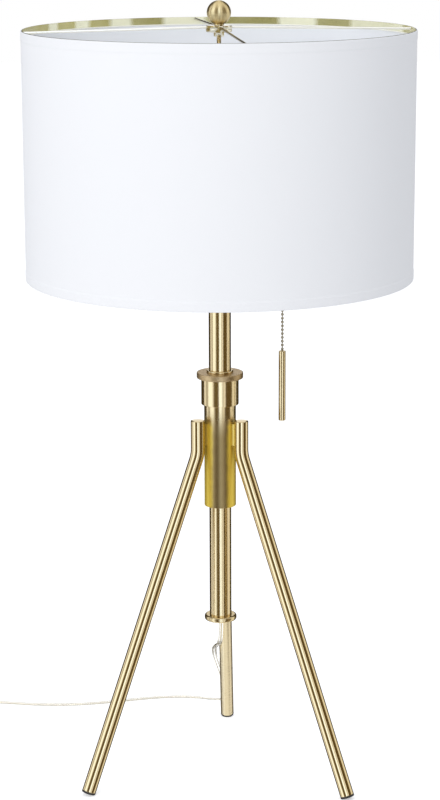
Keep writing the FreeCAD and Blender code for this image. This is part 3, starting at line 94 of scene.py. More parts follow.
class LampMetalSizes(bpy.types.PropertyGroup):
    """Tubes and turned brass."""
    edge: length(0.4, "Rounding of the turned edges")
    gap: length(0.3, "Gap between the lock nut and what it turns on")
    sleeve_wall: length(1.2, "Wall of the sleeve")
    tube_wall: length(1.0, "Wall of the column tube")
    leg_width: length(14.0, "Leg tube, outside")
    leg_offset: length(25.1, "Column axis to a leg's upright part")
    leg_head: length(374.0, "Height of the legs' closed tops")
    leg_bend: length(339.3, "Height where a leg's straight parts would meet")
    leg_bend_radius: length(34.0, "Radius of a leg's bend")
    leg_edge: length(0.6, "Rounding of a leg's ends")
    leg_splay: tilt(20.4, "Lean of the legs")
    leg_turn: tilt(-2.66, "Turn of the tripod about the column")
    pad_thickness: length(2.0, "Rubber pad below the leg's end")
    pad_proud: length(0.02, "How far a pad is wider than its leg")
    pad_edge: length(0.45, "Rounding of a pad's rim")
    pad_flat: length(0.5, "Height worn flat at the floor")
    nut_skirt: length(18.7, "Radius of the lock nut's skirt")
    nut_flange: length(5.7, "Thickness of the lock nut's flange")
    nut_edge: length(0.9, "Rounding of the flange")
    knurl_depth: length(0.16, "Depth of the grooves on the flange's rim")
    knurl_pitch: length(0.85, "Height of one diamond of the knurl")
    knurl_teeth: IntProperty(description="Diamonds round the flange", default=170, min=3)
    ring_bore: length(6.2, "Radius of the end ring's lip")
    ring_lip: length(1.5, "Thickness of the end ring's lip")
    ring_round: length(2.6, "Rounding of the end ring's rim")
    satin: tint((0.78, 0.62, 0.34), "Colour of the brushed brass")
    aged: tint((0.86, 0.69, 0.36), "Colour of the finial")
    brushing: FloatProperty(description="Roughness of the brushed brass", default=0.16, min=0.0, max=1.0)


class LampHeadSizes(bpy.types.PropertyGroup):
    """Harp, finial and bulb."""
    harp_wire: length(4.2, "Diameter of the harp's wire")
    harp_foot: length(27.0, "Column axis to the harp's feet")
    harp_upright: length(43.5, "Length of the harp's upright feet")
    harp_half: length(56.0, "Half width of the harp's control polygon")
    ball: length(11.7, "Radius of the finial's ball")
    ball_neck: length(4.75, "Radius of the finial's neck")
    ball_bore: length(3.4, "Radius of the finial's hole")
    ball_depth: length(12.0, "Depth of the finial's hole")
    bulb: length(30.0, "Radius of the bulb")
    bulb_neck: length(13.5, "Radius of the bulb's neck")
    bulb_slope: tilt(35.0, "Lean of the bulb's flank from upright")
    bulb_shoulder: length(12.0, "Length of the curve from flank to neck")


class LampChainSizes(bpy.types.PropertyGroup):
    """Pull chain and rod."""
    reach: length(62.0, "Column axis to the chain")
    bead: length(1.45, "Radius of a bead")
    wire: length(0.5, "Radius of the wire between beads")
    pitch: length(3.88, "Step from bead to bead")
    rod: length(3.5, "Radius of the rod")
    rod_edge: length(1.1, "Rounding of the rod's ends")
    rod_bore: length(1.95, "Radius of the rod's hole for the last bead")
    rod_depth: length(4.4, "Depth of that hole")


class LampShadeSizes(bpy.types.PropertyGroup):
    """Drum shade and its frame."""
    wall: length(1.2, "Linen on its backing")
    lap: length(14.0, "Width of the lapped seam at the back")
    hem: length(9.0, "Width of the folded linen along the rims")
    hem_lift: length(0.35, "Thickness of the folded linen")
    rim_round: length(0.5, "Rounding of the linen at the rims")
    thread: length(0.62, "Pitch of the linen's threads")
    band_peep: length(0.3, "How far the band's edge stands over the linen")
    band_wall: length(0.4, "Thickness of the band")
    tape: length(0.6, "Half height of the pale bead along the band's lower edge")
    rim_bead_proud: length(0.2, "How far that bead stands proud of the band")
    hub_bore: length(3.45, "Radius of the hub's hole")
    hub_groove: length(0.5, "Half height of the groove round the hub")
    linen: tint((0.88, 0.885, 0.895), "Colour of the linen")
    lining: tint((0.86, 0.875, 0.90), "Colour of the lining")


class LampCordSizes(bpy.types.PropertyGroup):
    """Cord, coil and plug."""
    width: length(5.0, "Width of the flat twin cord")
    thickness: length(2.7, "Thickness of the flat twin cord")
    wire: length(0.42, "Radius of each stranded wire")
    coil_radius: length(36.0, "Radius of the outer turn")
    coil_pitch: length(5.6, "Step from turn to turn")
    layer: length(2.95, "Step from layer to layer")
    tie: length(0.8, "Thickness of the tie")
    tie_width: length(8.0, "Width of the tie")
    low_turns: FloatProperty(description="Turns of the lower layer", default=3.0)
    high_turns: FloatProperty(description="Turns of the upper layer", default=3.5)
    turn_points: IntProperty(description="Points of the route in a turn", default=16, min=12)
    plug: length(27.0, "Length of the plug's body")


SIZE_GROUPS = {"lamp_metal": LampMetalSizes, "lamp_head": LampHeadSizes, "lamp_chain": LampChainSizes,
               "lamp_shade": LampShadeSizes, "lamp_cord": LampCordSizes}


# ---- shader graph ----------------------------------------------------------------------------------

class Signal:
    """A socket's value that can be used in sums; every operation adds one Math node."""

    def __init__(self, graph, socket):
        self.graph = graph
        self.socket = socket

    def joined(self, operation, first, second=0.0):
        return self.graph.node("ShaderNodeMath", {"operation": operation}, {0: first, 1: second})

    def __add__(self, other):
        return self.joined("ADD", self, other)

    __radd__ = __add__

    def __sub__(self, other):
        return self.joined("SUBTRACT", self, other)

    def __rsub__(self, other):
        return self.joined("SUBTRACT", other, self)

    def __mul__(self, other):
        return self.joined("MULTIPLY", self, other)

    __rmul__ = __mul__

    def __abs__(self):
        return self.joined("ABSOLUTE", self)


class Graph:
    """The node tree of a material or of the world, with one method that adds any node."""

    def __init__(self, tree):
        self.tree = tree
        self.tree.nodes.clear()

    def node(self, kind, settings=None, sockets=None, out=0):
        """Add a node: its settings first, then the values or links of its sockets."""
        made = self.tree.nodes.new(kind)
        for key, value in (settings or {}).items():
            setattr(made, key, value)
        for key, value in (sockets or {}).items():
            socket = made.inputs[key]
            if isinstance(value, Signal):
                self.tree.links.new(value.socket, socket)
            else:
                socket.default_value = (*value, 1.0) if socket.type == "RGBA" else value
        return Signal(self, made.outputs[out]) if made.outputs else None

    def uv(self):
        return self.node("ShaderNodeUVMap", {"uv_map": "UVMap"})

    def place(self):
        return self.node("ShaderNodeTexCoord", out="Object")

    def parts(self, vector):
        """The three numbers of a vector."""
        split = self.node("ShaderNodeSeparateXYZ", {}, {0: vector})
        return [Signal(self, output) for output in split.socket.node.outputs]

    def stretched(self, vector, scale):
        return self.node("ShaderNodeMapping", {}, {"Vector": vector, "Scale": scale})

    def noise(self, vector, scale=1.0, detail=2.0):
        return self.node("ShaderNodeTexNoise", {}, {"Vector": vector, "Scale": scale, "Detail": detail})

    def ramp(self, value, start, end, top=1.0, smooth=False):
        """0 where the value is start, top where it is end, in a line or a smooth step between."""
        settings = {"interpolation_type": "SMOOTHSTEP"} if smooth else {}
        limits = {"Value": value, "From Min": start, "From Max": end, "To Max": top}
        return self.node("ShaderNodeMapRange", settings, limits)

    def blend(self, factor, first, second):
        return self.node("ShaderNodeMix", {"data_type": "RGBA"}, {0: factor, 6: first, 7: second}, out=2)

    def bump(self, height, depth, strength=1.0):
        return self.node("ShaderNodeBump", {}, {"Height": height, "Distance": depth, "Strength": strength})

    def finish(self, sockets):
        """Close a material with one Principled shader."""
        shader = self.node("ShaderNodeBsdfPrincipled", {}, sockets)
        self.node("ShaderNodeOutputMaterial", {}, {"Surface": shader})


def new_graph(name):
    """The cleared graph of a new material."""
    made = bpy.data.materials.new(name)
    made.use_nodes = True
    return Graph(made.node_tree)


# ---- materials -------------------------------------------------------------------------------------
# A noise's scale is in marks per metre, and colours are linear.

BRUSH_LINES = 5200.0
BRUSH_DEPTH = 0.006 * MM


def shaded(colour, factor):
    """The same colour, darker or lighter."""
    return tuple(min(1.0, channel * factor) for channel in colour)


def brushed_brass(name, colour, roughness, on_surface=True, depth=BRUSH_DEPTH, metallic=1.0):
    """Brass brushed round its axis: fine lines across the length, faint clouds in colour and gloss.

    The lines follow the piece's own UV map, or the height where it has none.
    """
    graph = new_graph(name)
    if on_surface:
        across = graph.stretched(graph.uv(), (90.0, BRUSH_LINES, 90.0))
    else:
        across = graph.stretched(graph.place(), (90.0, 90.0, BRUSH_LINES))
    streaks = graph.noise(across, detail=3.0)
    clouds = graph.noise(graph.place(), 45.0, 2.0)
    graph.finish({
        "Base Color": graph.blend(clouds, shaded(colour, 0.93), colour),
        "Metallic": metallic,
        "Roughness": streaks * 0.07 + (roughness - 0.035) + clouds * 0.02,
        "Normal": graph.bump(streaks, depth),
    })


def sleeve_brass(name, colour, roughness, leg_head, leg_turn):
    """Brushed brass with painted shade, dull and brown, below the legs' tops, and a painted gold reflection
    of each leg.

    The painted reflection follows the cosine between a point's direction from the axis and the leg's.
    """
    graph = new_graph(name)
    x, y, up = graph.parts(graph.place())
    bright = graph.ramp(up, leg_head - 20 * MM, leg_head + 20 * MM, smooth=True)
    streaks = graph.noise(graph.stretched(graph.uv(), (90.0, BRUSH_LINES, 90.0)), detail=3.0)
    mottle = graph.noise(graph.place(), 110.0, 4.0)
    radius = extent("sleeve")[0]
    leg_reflections = []
    # Painted reflection of each leg: a gold tint on the side of the sleeve that faces it.
    for azimuth in LEG_SIDES.values():
        around = math.radians(azimuth) + leg_turn
        facing = x * (math.cos(around) / radius) + y * (math.sin(around) / radius)
        leg_reflections.append(graph.ramp(facing + mottle * 0.08, 0.80, 1.0, smooth=True))
    near = sum(leg_reflections) * graph.ramp(up, leg_head + 3 * MM, leg_head - 6 * MM)
    # Painted shade: dull brown below the legs' tops.
    painted_shade = graph.blend(mottle, (0.30, 0.205, 0.08), (0.37, 0.265, 0.11))
    shade_and_reflections = graph.blend(near, painted_shade, (0.86, 0.63, 0.08))
    graph.finish({
        "Base Color": graph.blend(bright * (1.0 - near), shade_and_reflections, colour),
        "Metallic": 1.0 - near * 0.45,
        "Roughness": streaks * 0.07 + (roughness + 0.20) - bright * 0.23,
        "Normal": graph.bump(streaks, BRUSH_DEPTH),
    })


def grained_brass(name, colour):
    """Finely knurled brass that has worn to a grain: golden brown, mottled, rather rough."""
    graph = new_graph(name)
    grain = graph.noise(graph.place(), 1500.0, 3.0)
    patches = graph.noise(graph.place(), 330.0, 2.0)
    graph.finish({
        "Base Color": graph.blend(grain, shaded(colour, 0.55), colour),
        "Metallic": 1.0,
        "Roughness": patches * 0.2 + 0.28,
        "Normal": graph.bump(grain + patches, 0.16 * MM, 0.55),
    })


def patched_brass(name, colour, pale, size):
    """Polished metal with pale and olive patches of about the given size: painted highlights and
    reflections.
    """
    graph = new_graph(name)
    patches = graph.noise(graph.place(), 1.0 / size, 1.0)
    graph.finish({
        "Base Color": graph.blend(graph.ramp(patches, 0.46, 0.54), colour, pale),
        "Metallic": 1.0,
        "Roughness": patches * 0.1 + 0.08,
    })


# Painted reflections on the rim's band: pale stretches, as shares of a turn from +X: first, last and how
# pale.
PAINTED_REFLECTIONS = [
    (0.045, 0.125, 0.65), (0.162, 0.196, 1.0), (0.262, 0.299, 1.0), (0.330, 0.350, 0.85),
    (0.373, 0.389, 1.0), (0.415, 0.427, 1.0), (0.560, 0.585, 0.8), (0.660, 0.675, 0.6),
    (0.760, 0.800, 0.9), (0.880, 0.893, 0.8),
]
PALE_FADE = 0.003


def band_brass(name, colour, pale, turn_length):
    """Thin rolled strip: olive brass with painted reflections, pale stretches at set places round the rim.
    """
    graph = new_graph(name)
    streaks = graph.noise(graph.stretched(graph.uv(), (60.0, 1200.0, 1.0)), detail=2.0)
    clouds = graph.noise(graph.place(), 40.0, 3.0)
    turn = graph.parts(graph.uv())[0] * (1.0 / turn_length) + clouds * 0.006 - 0.003
    share = clouds * 0.35
    for first, last, strength in PAINTED_REFLECTIONS:
        rise = graph.ramp(turn, first - PALE_FADE, first + PALE_FADE, strength)
        fall = graph.ramp(turn, last - PALE_FADE, last + PALE_FADE, strength)
        share = share + rise - fall
    graph.finish({
        "Base Color": graph.blend(share, colour, pale),
        "Metallic": 1.0 - share * 0.6,
        "Roughness": streaks * 0.1 + 0.12,
        "Normal": graph.bump(streaks, 0.01 * MM),
    })


def clouded(name, low, high, roughness, spread=0.06, scale=60.0, metallic=1.0, bump=None, **more):
    """A finish between two colours, its gloss following the same faint clouds.

    The bump, where there is one, is the depth and the strength of the clouds' own relief; the names
    of further sockets are written with underscores.
    """
    graph = new_graph(name)
    clouds = graph.noise(graph.place(), scale, 3.0)
    sockets = {key.replace("_", " "): value for key, value in more.items()}
    if bump:
        sockets["Normal"] = graph.bump(clouds, *bump)
    graph.finish({
        "Base Color": graph.blend(clouds, low, high),
        "Metallic": metallic,
        "Roughness": clouds * spread + (roughness - spread / 2),
        **sockets,
    })


def spoke_brass(name, bright, dark):
    """Polished wire with painted reflections: a painted highlight where it runs left and right, painted
    dark where it runs front to back.
    """
    graph = new_graph(name)
    x, y, _ = graph.parts(graph.place())
    share = graph.ramp(abs(y) - abs(x), -2 * MM, 2 * MM)
    clouds = graph.noise(graph.place(), 60.0, 3.0)
    graph.finish({
        "Base Color": graph.blend(share, bright, dark),
        "Metallic": share * 0.5 + 0.5,
        "Roughness": clouds * 0.06 + 0.12,
    })


def spun_brass(name, colour, roughness):
    """Turned metal with no brushing to see."""
    clouded(name, shaded(colour, 0.9), colour, roughness)


def wave(angle):
    """Half of one plus the sine of the angle."""
    return angle.joined("SINE", angle) * 0.5 + 0.5


def linen_weave(name, colour, thread):
    """Plain weave: warp and weft as two crossed waves, with slubs that swell single threads."""
    graph = new_graph(name)
    where = graph.uv()
    along, up, _ = graph.parts(where)
    turns = TURN / thread
    slub_up = graph.noise(graph.stretched(where, (0.9 / thread, 14.0, 1.0)), detail=2.0)
    slub_along = graph.noise(graph.stretched(where, (14.0, 0.9 / thread, 1.0)), detail=2.0)
    warp = wave(along * turns + slub_up * 2.0) * (slub_up * 0.9 + 0.4)
    weft = wave(up * turns + slub_along * 2.0) * (slub_along * 0.9 + 0.4)
    cloth = warp * 0.5 + weft * 0.5
    graph.finish({
        "Base Color": graph.blend(cloth, shaded(colour, 0.90), colour),
        "Roughness": 0.92,
        "Sheen Weight": 0.12,
        "Sheen Roughness": 0.6,
        "Normal": graph.bump(cloth, 0.12 * MM, 0.55),
    })


def plain_lining(name, colour):
    """Smooth backing sheet inside the shade, with faint clouds."""
    graph = new_graph(name)
    clouds = graph.noise(graph.place(), 14.0, 3.0)
    graph.finish({
        "Base Color": graph.blend(clouds, shaded(colour, 0.96), colour),
        "Roughness": clouds * 0.1 + 0.5,
        "Normal": graph.bump(graph.noise(graph.place(), 900.0, 2.0), 0.03 * MM, 0.4),
    })


def moulded(name, colour, roughness, grain=1400.0):
    """Moulded plastic or rubber with a fine grain."""
    lighter = tuple(min(1.0, channel * 1.35 + 0.01) for channel in colour)
    clouded(name, colour, lighter, roughness + 0.005, 0.15, grain, 0.0, bump=(0.03 * MM, 0.5))


def clear_vinyl(name):
    """Clear soft cord sheath, faintly yellow, with a wavy skin."""
    graph = new_graph(name)
    ripple = graph.noise(graph.stretched(graph.uv(), (300.0, 60.0, 1.0)), detail=2.0)
    graph.finish({
        "Base Color": (0.99, 0.985, 0.97),
        "Roughness": ripple * 0.10 + 0.06,
        "IOR": 1.16,
        "Transmission Weight": 1.0,
        "Normal": graph.bump(ripple, 0.05 * MM, 0.4),
    })


def stranded_wire(name, colour):
    """Fine twisted strands: slanting lines along the wire."""
    graph = new_graph(name)
    around, along, _ = graph.parts(graph.uv())
    lay = wave(around * 22000.0 + along * 3600.0)
    graph.finish({
        "Base Color": graph.blend(lay, shaded(colour, 0.55), colour),
        "Metallic": 1.0,
        "Roughness": lay * 0.1 + 0.22,
        "Normal": graph.bump(lay, 0.05 * MM, 0.6),
    })


def make_materials(scene):
    """Every finish of the lamp, with its colour and roughness."""
    metal, shade = scene.lamp_metal, scene.lamp_shade
    satin, brushing = tuple(metal.satin), metal.brushing
    brushed_brass("tube_brass", satin, brushing)
    brushed_brass("cast_brass", satin, brushing, on_surface=False)
    brushed_brass("leg_brass", satin, 0.06, depth=BRUSH_DEPTH / 3)
    # The rear leg's brass is painted paler than the other legs': a lighter copy standing in for how the
    # light falls on it.
    brushed_brass("rear_leg_painted_paler", (0.90, 0.76, 0.48), 0.27, metallic=0.9)
    spun_brass("turned_brass", satin, 0.14)
    sleeve_brass("sleeve_brass", satin, brushing, metal.leg_head, metal.leg_turn)
    spun_brass("brazed_brass", (0.80, 0.60, 0.16), 0.38)
    spun_brass("ring_brass", satin, 0.24)
    grained_brass("grained_brass", (0.74, 0.53, 0.27))
    band_brass("band_brass", (0.50, 0.44, 0.13), (1.0, 0.98, 0.72), extent("shade_band")[0] * TURN)
    # Painted highlights and reflections: pale and olive patches on the hub and the finial's stud.
    patched_brass("hub_brass", (0.46, 0.34, 0.11), (1.0, 0.94, 0.76), 6 * MM)
    # Cream bead under the band: a painted highlight of a polished wire ring.
    plain_lining("rim_wire_highlight", (0.98, 0.97, 0.88))
    # Painted shade: the band's dark upper edge and outer face.
    spun_brass("band_edge", (0.20, 0.18, 0.12), 0.35)
    # Painted highlight on the spokes that run left and right, painted dark reflection on the others.
    spoke_brass("spoke_brass", (1.0, 0.98, 0.88), (0.26, 0.23, 0.17))
    spun_brass("chain_brass", (0.46, 0.40, 0.28), 0.3)
    # Polished on a lathe about Z: every highlight is drawn out along the meridian.
    aged = tuple(metal.aged)
    clouded("aged_brass", shaded(aged, 0.86), aged, 0.33, 0.05, 70.0, Anisotropic=0.93,
            Anisotropic_Rotation=0.25)
    linen_weave("linen", tuple(shade.linen), shade.thread)
    plain_lining("lining", tuple(shade.lining))
    moulded("pad_rubber", (0.02, 0.018, 0.016), 0.6)
    moulded("black_moulding", (0.02, 0.02, 0.022), 0.4)
    moulded("fibre", (0.33, 0.22, 0.12), 0.8, grain=500.0)
    moulded("strap", (0.03, 0.03, 0.035), 0.7, grain=2200.0)
    clear_vinyl("vinyl")
    stranded_wire("gold_wire", (0.93, 0.87, 0.72))
    moulded("plug_vinyl", (0.62, 0.55, 0.40), 0.3)
    spun_brass("steel", (0.62, 0.61, 0.59), 0.25)
    spun_brass("aluminium", (0.78, 0.77, 0.75), 0.28)
    clouded("frosted", (0.90, 0.90, 0.88), (0.94, 0.94, 0.93), 0.34, 0.08, 80.0, 0.0,
            Transmission_Weight=0.25, Coat_Weight=0.3, Coat_Roughness=0.25)


def finish_of(name):
    """A finish that the stage operator made, by its name."""
    return bpy.data.materials[name]


# ---- surfaces --------------------------------------------------------------------------------------

def full_turn(count):
    """Angles of a whole turn, with the last left out."""
    return np.linspace(0.0, TURN, count, endpoint=False)


def circled(radius, angle, height):
    """Points (r cos a, r sin a, z), with radius and height for each row and angle for each column."""
    radius, angle, height = np.broadcast_arrays(radius, angle, height)
    return np.stack([radius * np.cos(angle), radius * np.sin(angle), height], axis=-1)


def measured(points):
    """Running length along a line of points."""
    return np.concatenate([[0.0], np.cumsum(np.linalg.norm(np.diff(points, axis=0), axis=1))])


def unit(vector):
    """The vector with length 1."""
    return vector / np.linalg.norm(vector)


def eased(share):
    """3 s^2 - 2 s^3, with s held between 0 and 1."""
    share = np.clip(share, 0.0, 1.0)
    return share * share * (3 - 2 * share)


def rounding(share):
    """Drop of a quarter circle, 1 - sqrt(1 - (1 - s)^2), with s held between 0 and 1."""
    share = np.clip(share, 0.0, 1.0)
    return 1 - np.sqrt(1 - (1 - share) ** 2)


def squared_off(wave_value):
    """sign(w) |w|^0.62, which makes a rounded box of a circle's cosine and sine."""
    return np.sign(wave_value) * np.abs(wave_value) ** 0.62


def stepped_on(values):
    """The values with one more step like the last."""
    return np.append(values, 2 * values[-1] - values[-2])


SHARP_ANGLE = math.radians(38.0)
MERGE_DISTANCE = 0.002 * MM


def grid_piece(name, points, wrap_rows=False, wrap_columns=True, uv=None):
    """A piece of quads between the neighbours in a grid of points, which may close on itself either way.

    Doubles at poles and seams are merged, and the faces point outwards.
    """
    rows, columns = points.shape[:2]
    row, column = np.meshgrid(np.arange(rows if wrap_rows else rows - 1),
                              np.arange(columns if wrap_columns else columns - 1), indexing="ij")
    row = np.stack([row, row, row + 1, row + 1], axis=-1).reshape(-1, 4)
    column = np.stack([column, column + 1, column + 1, column], axis=-1).reshape(-1, 4)
    faces = row % rows * columns + column % columns
    mesh = bpy.data.meshes.new(name)
    mesh.from_pydata(points.reshape(-1, 3).tolist(), [], faces.tolist())
    if uv is not None:
        flat = np.stack([stepped_on(uv[0])[column], stepped_on(uv[1])[row]], axis=-1)
        layer = mesh.uv_layers.new(name="UVMap")
        layer.data.foreach_set("uv", flat.astype(np.float32).ravel())
    joined = bmesh.new()
    joined.from_mesh(mesh)
    bmesh.ops.remove_doubles(joined, verts=joined.verts, dist=MERGE_DISTANCE)
    bmesh.ops.recalc_face_normals(joined, faces=joined.faces)
    joined.to_mesh(mesh)
    joined.free()
    mesh.shade_smooth()
    mesh.set_sharp_from_angle(angle=SHARP_ANGLE)
    mesh.validate()
    made = bpy.data.objects.new(name, mesh)
    bpy.context.scene.collection.objects.link(made)
    return made


def bow(start, corner, end, step):
    """Quadratic curve (1 - s)^2 start + 2 s (1 - s) corner + s^2 end, a point for each step s."""
    step = step[:, None]
    return (1 - step) ** 2 * start + 2 * step * (1 - step) * corner + step ** 2 * end


SIDE_SHARE = 0.42       # how much of a side a rounding may take up
GUARD = 1.16            # where the point beside a rounding lies, as a share of its reach


def rounded(corners, radius, closed, steps=4):
    """An outline with its corners rounded.

    A corner becomes a quadratic curve that leaves both sides at the same distance from it, with one
    more point just outside each end, which keeps the shading of the straight sides flat.
    """
    corners = np.asarray(corners, dtype=float)
    count = len(corners)
    limits = np.broadcast_to(np.asarray(radius, dtype=float), count)
    out = []
    for index, corner in enumerate(corners):
        at_end = not closed and index in (0, count - 1)
        if at_end or limits[index] <= 0:
            out.append(corner[None])
            continue
        before = corners[index - 1] - corner
        after = corners[(index + 1) % count] - corner
        reach = min(limits[index], SIDE_SHARE * np.linalg.norm(before), SIDE_SHARE * np.linalg.norm(after))
        before, after = unit(before) * reach, unit(after) * reach
        bend = bow(corner + before, corner, corner + after, np.linspace(0.0, 1.0, steps + 1))
        out.append(np.vstack([corner + before * GUARD, bend, corner + after * GUARD]))
    return np.vstack(out)


def turned(name, outline, closed=True, segments=112, centre=(0.0, 0.0), ripple=None):
    """A turned piece: x = r cos a, y = r sin a, z = z for each (r, z) of the outline and angle a."""
    angle = full_turn(segments)
    radius = outline[:, :1] + (0.0 if ripple is None else ripple(outline, angle))
    points = circled(radius, angle, outline[:, 1:]) + [*centre, 0.0]
    return grid_piece(name, points, wrap_rows=closed, uv=(angle * outline[:, 0].max(), measured(outline)))


def tube_outline(inner, outer, foot, head, edge):
    """Outline of a plain tube's wall, its edges rounded."""
    return rounded([(inner, foot), (outer, foot), (outer, head), (inner, head)], edge, closed=True)


def section_frames(path, reference):
    """Tangent, side and normal at each point of a path.

    The tangent is the central difference, the side is tangent x reference, the normal is
    side x tangent.
    """
    tangent = np.gradient(path, axis=0)
    tangent /= np.linalg.norm(tangent, axis=1, keepdims=True)
    side = np.cross(tangent, reference)
    side /= np.linalg.norm(side, axis=1, keepdims=True)
    return tangent, side, np.cross(side, tangent)


def capped(points):
    """Rings of points that end in the middles of the first and the last, which closes both ends."""
    first, last = (np.broadcast_to(ring.mean(axis=0), ring.shape) for ring in (points[0], points[-1]))
    return np.concatenate([first[None], points, last[None]])


def carried(name, path, reference, section, scale=1.0, offset=0.0):
    """A section carried along a path: point + side * a + normal * b for each (a, b) of the section.

    The scale is one factor, or a column of factors for the points of the path. The offset moves the
    section sideways.
    """
    _, side, normal = section_frames(path, reference)
    factor = scale * np.ones((len(path), 1))
    across = (section[:, 0] * factor + offset)[..., None]
    high = (section[:, 1] * factor)[..., None]
    points = path[:, None] + side[:, None] * across + normal[:, None] * high
    run = measured(path)
    return grid_piece(name, capped(points), uv=(measured(section), np.concatenate([[0.0], run, run[-1:]])))


def ring_section(radius, sides=32):
    """Circle of the given radius, as (a, b) points."""
    angle = full_turn(sides)
    return radius * np.stack([np.cos(angle), np.sin(angle)], axis=1)


def dressed(piece, body, finish, slot, *nodes):
    """Give a piece its finish and its body, and hide the nodes that it stands for; the slot is not used."""
    piece.data.materials.clear()
    piece.data.materials.append(finish_of(finish))
    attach(piece, body)
    if nodes:
        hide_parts(*nodes)
    return piece


def face_places(piece):
    """Distance from the column's axis and height of the middle of each face."""
    centres = np.empty(len(piece.data.polygons) * 3)
    piece.data.polygons.foreach_get("center", centres)
    across, forward, height = centres.reshape(-1, 3).T
    return np.hypot(across, forward), height


def finish_faces(piece, chosen, *finishes):
    """Add finishes to a piece, and give each face the one whose number it has in chosen."""
    for finish in finishes:
        piece.data.materials.append(finish_of(finish))
    piece.data.polygons.foreach_set("material_index", chosen.astype(np.int32))


def paint_node(name, finish):
    """Give a CAD node a finish; its mesh stays as it is."""
    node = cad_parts[name]
    node.data.materials.clear()
    node.data.materials.append(finish_of(finish))


def extent(node):
    """Outer radius about the column axis, lowest and highest height of a turned node."""
    low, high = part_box(node)
    return (high[1] - low[1]) / 2, low[2], high[2]


# ---- operators -------------------------------------------------------------------------------------

class LampStage(bpy.types.Operator):
    """Camera, lamps, floor and world, and the finishes that all pieces share"""
    bl_idname = "lamp.stage"
    bl_label = "Stage"

    def execute(self, context):
        scene = context.scene
        scene.view_settings.view_transform = "Standard"
        make_materials(scene)
        make_camera(scene)
        make_world(scene)
        make_floor(scene)
        make_lights(scene)
        return {"FINISHED"}


CAMERA_PLACE = (0.0, -2.1824, 0.90328)
CAMERA_PITCH = math.radians(13.18)
CAMERA_ROLL = math.radians(-0.17)
CAMERA_LENS = 100.99


def make_camera(scene):
    """The photo's camera, fitted to the shade and the column."""
    data = bpy.data.cameras.new("camera")
    data.sensor_fit = "VERTICAL"
    data.sensor_height = 36.0
    data.lens = CAMERA_LENS
    data.clip_end = 50.0
    camera = bpy.data.objects.new("camera", data)
    scene.collection.objects.link(camera)
    pitch = Matrix.Rotation(math.pi / 2 - CAMERA_PITCH, 4, "X")
    roll = Matrix.Rotation(CAMERA_ROLL, 4, "Z")
    camera.matrix_world = Matrix.Translation(CAMERA_PLACE) @ pitch @ roll
    scene.camera = camera


AMBIENT = (0.735, 0.755, 0.79)       # what the world lights with


def make_world(scene):
    """White all round: full strength where it is seen or mirrored, less where it lights."""
    world = bpy.data.worlds.new("studio")
    world.use_nodes = True
    scene.world = world
    graph = Graph(world.node_tree)
    seen = seen_rays(graph)
    lit = graph.node("ShaderNodeBackground", {}, {"Color": AMBIENT, "Strength": 1.0})
    shown = graph.node("ShaderNodeBackground", {}, {"Color": (1.0, 1.0, 1.0), "Strength": 1.0})
    mixed = graph.node("ShaderNodeMixShader", {}, {0: seen, 1: lit, 2: shown})
    graph.node("ShaderNodeOutputWorld", {}, {"Surface": mixed})


def seen_rays(graph):
    """1 for rays from the camera, from glossy surfaces and through clear ones."""
    outputs = graph.node("ShaderNodeLightPath").socket.node.outputs
    camera, glossy, clear = (Signal(graph, outputs[f"Is {kind} Ray"])
                             for kind in ("Camera", "Glossy", "Transmission"))
    return graph.node("ShaderNodeMath", {"operation": "ADD", "use_clamp": True},
                      {0: camera + glossy, 1: clear})


FLOOR_GLOW = 0.45       # what the floor adds to its lit colour where the camera sees it
FLOOR_RADIUS = 9.0


def make_floor(scene):
    """Round pale floor: white where it is seen, darker only in the lamp's shadow."""
    graph = new_graph("floor")
    glow = graph.node("ShaderNodeEmission", {}, {"Color": (1.0, 1.0, 1.0), "Strength": FLOOR_GLOW})
    lit = graph.node("ShaderNodeBsdfDiffuse", {}, {"Color": (0.86, 0.86, 0.86)})
    both = graph.node("ShaderNodeAddShader", {}, {0: glow, 1: lit})
    mixed = graph.node("ShaderNodeMixShader", {}, {0: seen_rays(graph), 1: lit, 2: both})
    graph.node("ShaderNodeOutputMaterial", {}, {"Surface": mixed})
    floor = grid_piece("floor", circled(np.array([[0.0], [FLOOR_RADIUS]]), full_turn(64), 0.0))
    floor.data.materials.append(finish_of("floor"))
    floor.visible_glossy = False


# Tall cards round the lamp that only the brass mirrors: first and last degree, counted from the viewer's
# side towards +X, and colour.
CARDS = {
    "rear_left": (-176.0, -113.0, (0.07, 0.055, 0.03)),
    "peach_left": (-113.0, -97.0, (1.15, 1.20, 1.35)),
    "grey_left": (-97.0, -77.0, (0.58, 0.58, 0.60)),
    "cream": (-77.0, -46.0, (1.45, 1.62, 1.95)),
    "grey_middle": (-46.0, -38.0, (0.75, 0.75, 0.78)),
    "olive_left": (-38.0, -7.0, (0.17, 0.13, 0.06)),
    "white": (-7.0, 13.0, (1.50, 1.75, 2.25)),
    "grey_right": (13.0, 25.0, (0.80, 0.82, 0.90)),
    "cream_right": (25.0, 34.0, (1.15, 1.20, 1.35)),
    "olive_right": (34.0, 79.0, (0.14, 0.10, 0.04)),
    "rear_right": (117.0, 176.0, (0.07, 0.055, 0.03)),
}
CARD_DISTANCE = 2.4
CARD_LOW, CARD_HIGH = -3.0, 3.6
LAMPS = {"key": ((-1.4, -2.5, 1.9), 1.4, 29.0), "top": ((0.3, 0.5, 3.2), 1.2, 6.0)}


def make_card(name, first, last, colour):
    """One card: an upright strip of a cylinder that glows, seen by nothing but the brass."""
    graph = new_graph("card_" + name)
    glow = graph.node("ShaderNodeEmission", {}, {"Color": colour, "Strength": 1.0})
    graph.node("ShaderNodeOutputMaterial", {}, {"Surface": glow})
    angle = np.radians(np.linspace(first, last, 9)) - math.pi / 2
    points = circled(CARD_DISTANCE, angle, np.array([[CARD_LOW], [CARD_HIGH]]))
    card = grid_piece("card_" + name, points, wrap_columns=False)
    card.data.materials.append(finish_of("card_" + name))
    card.visible_camera = False
    card.visible_diffuse = False
    card.visible_shadow = False
    card.visible_transmission = False


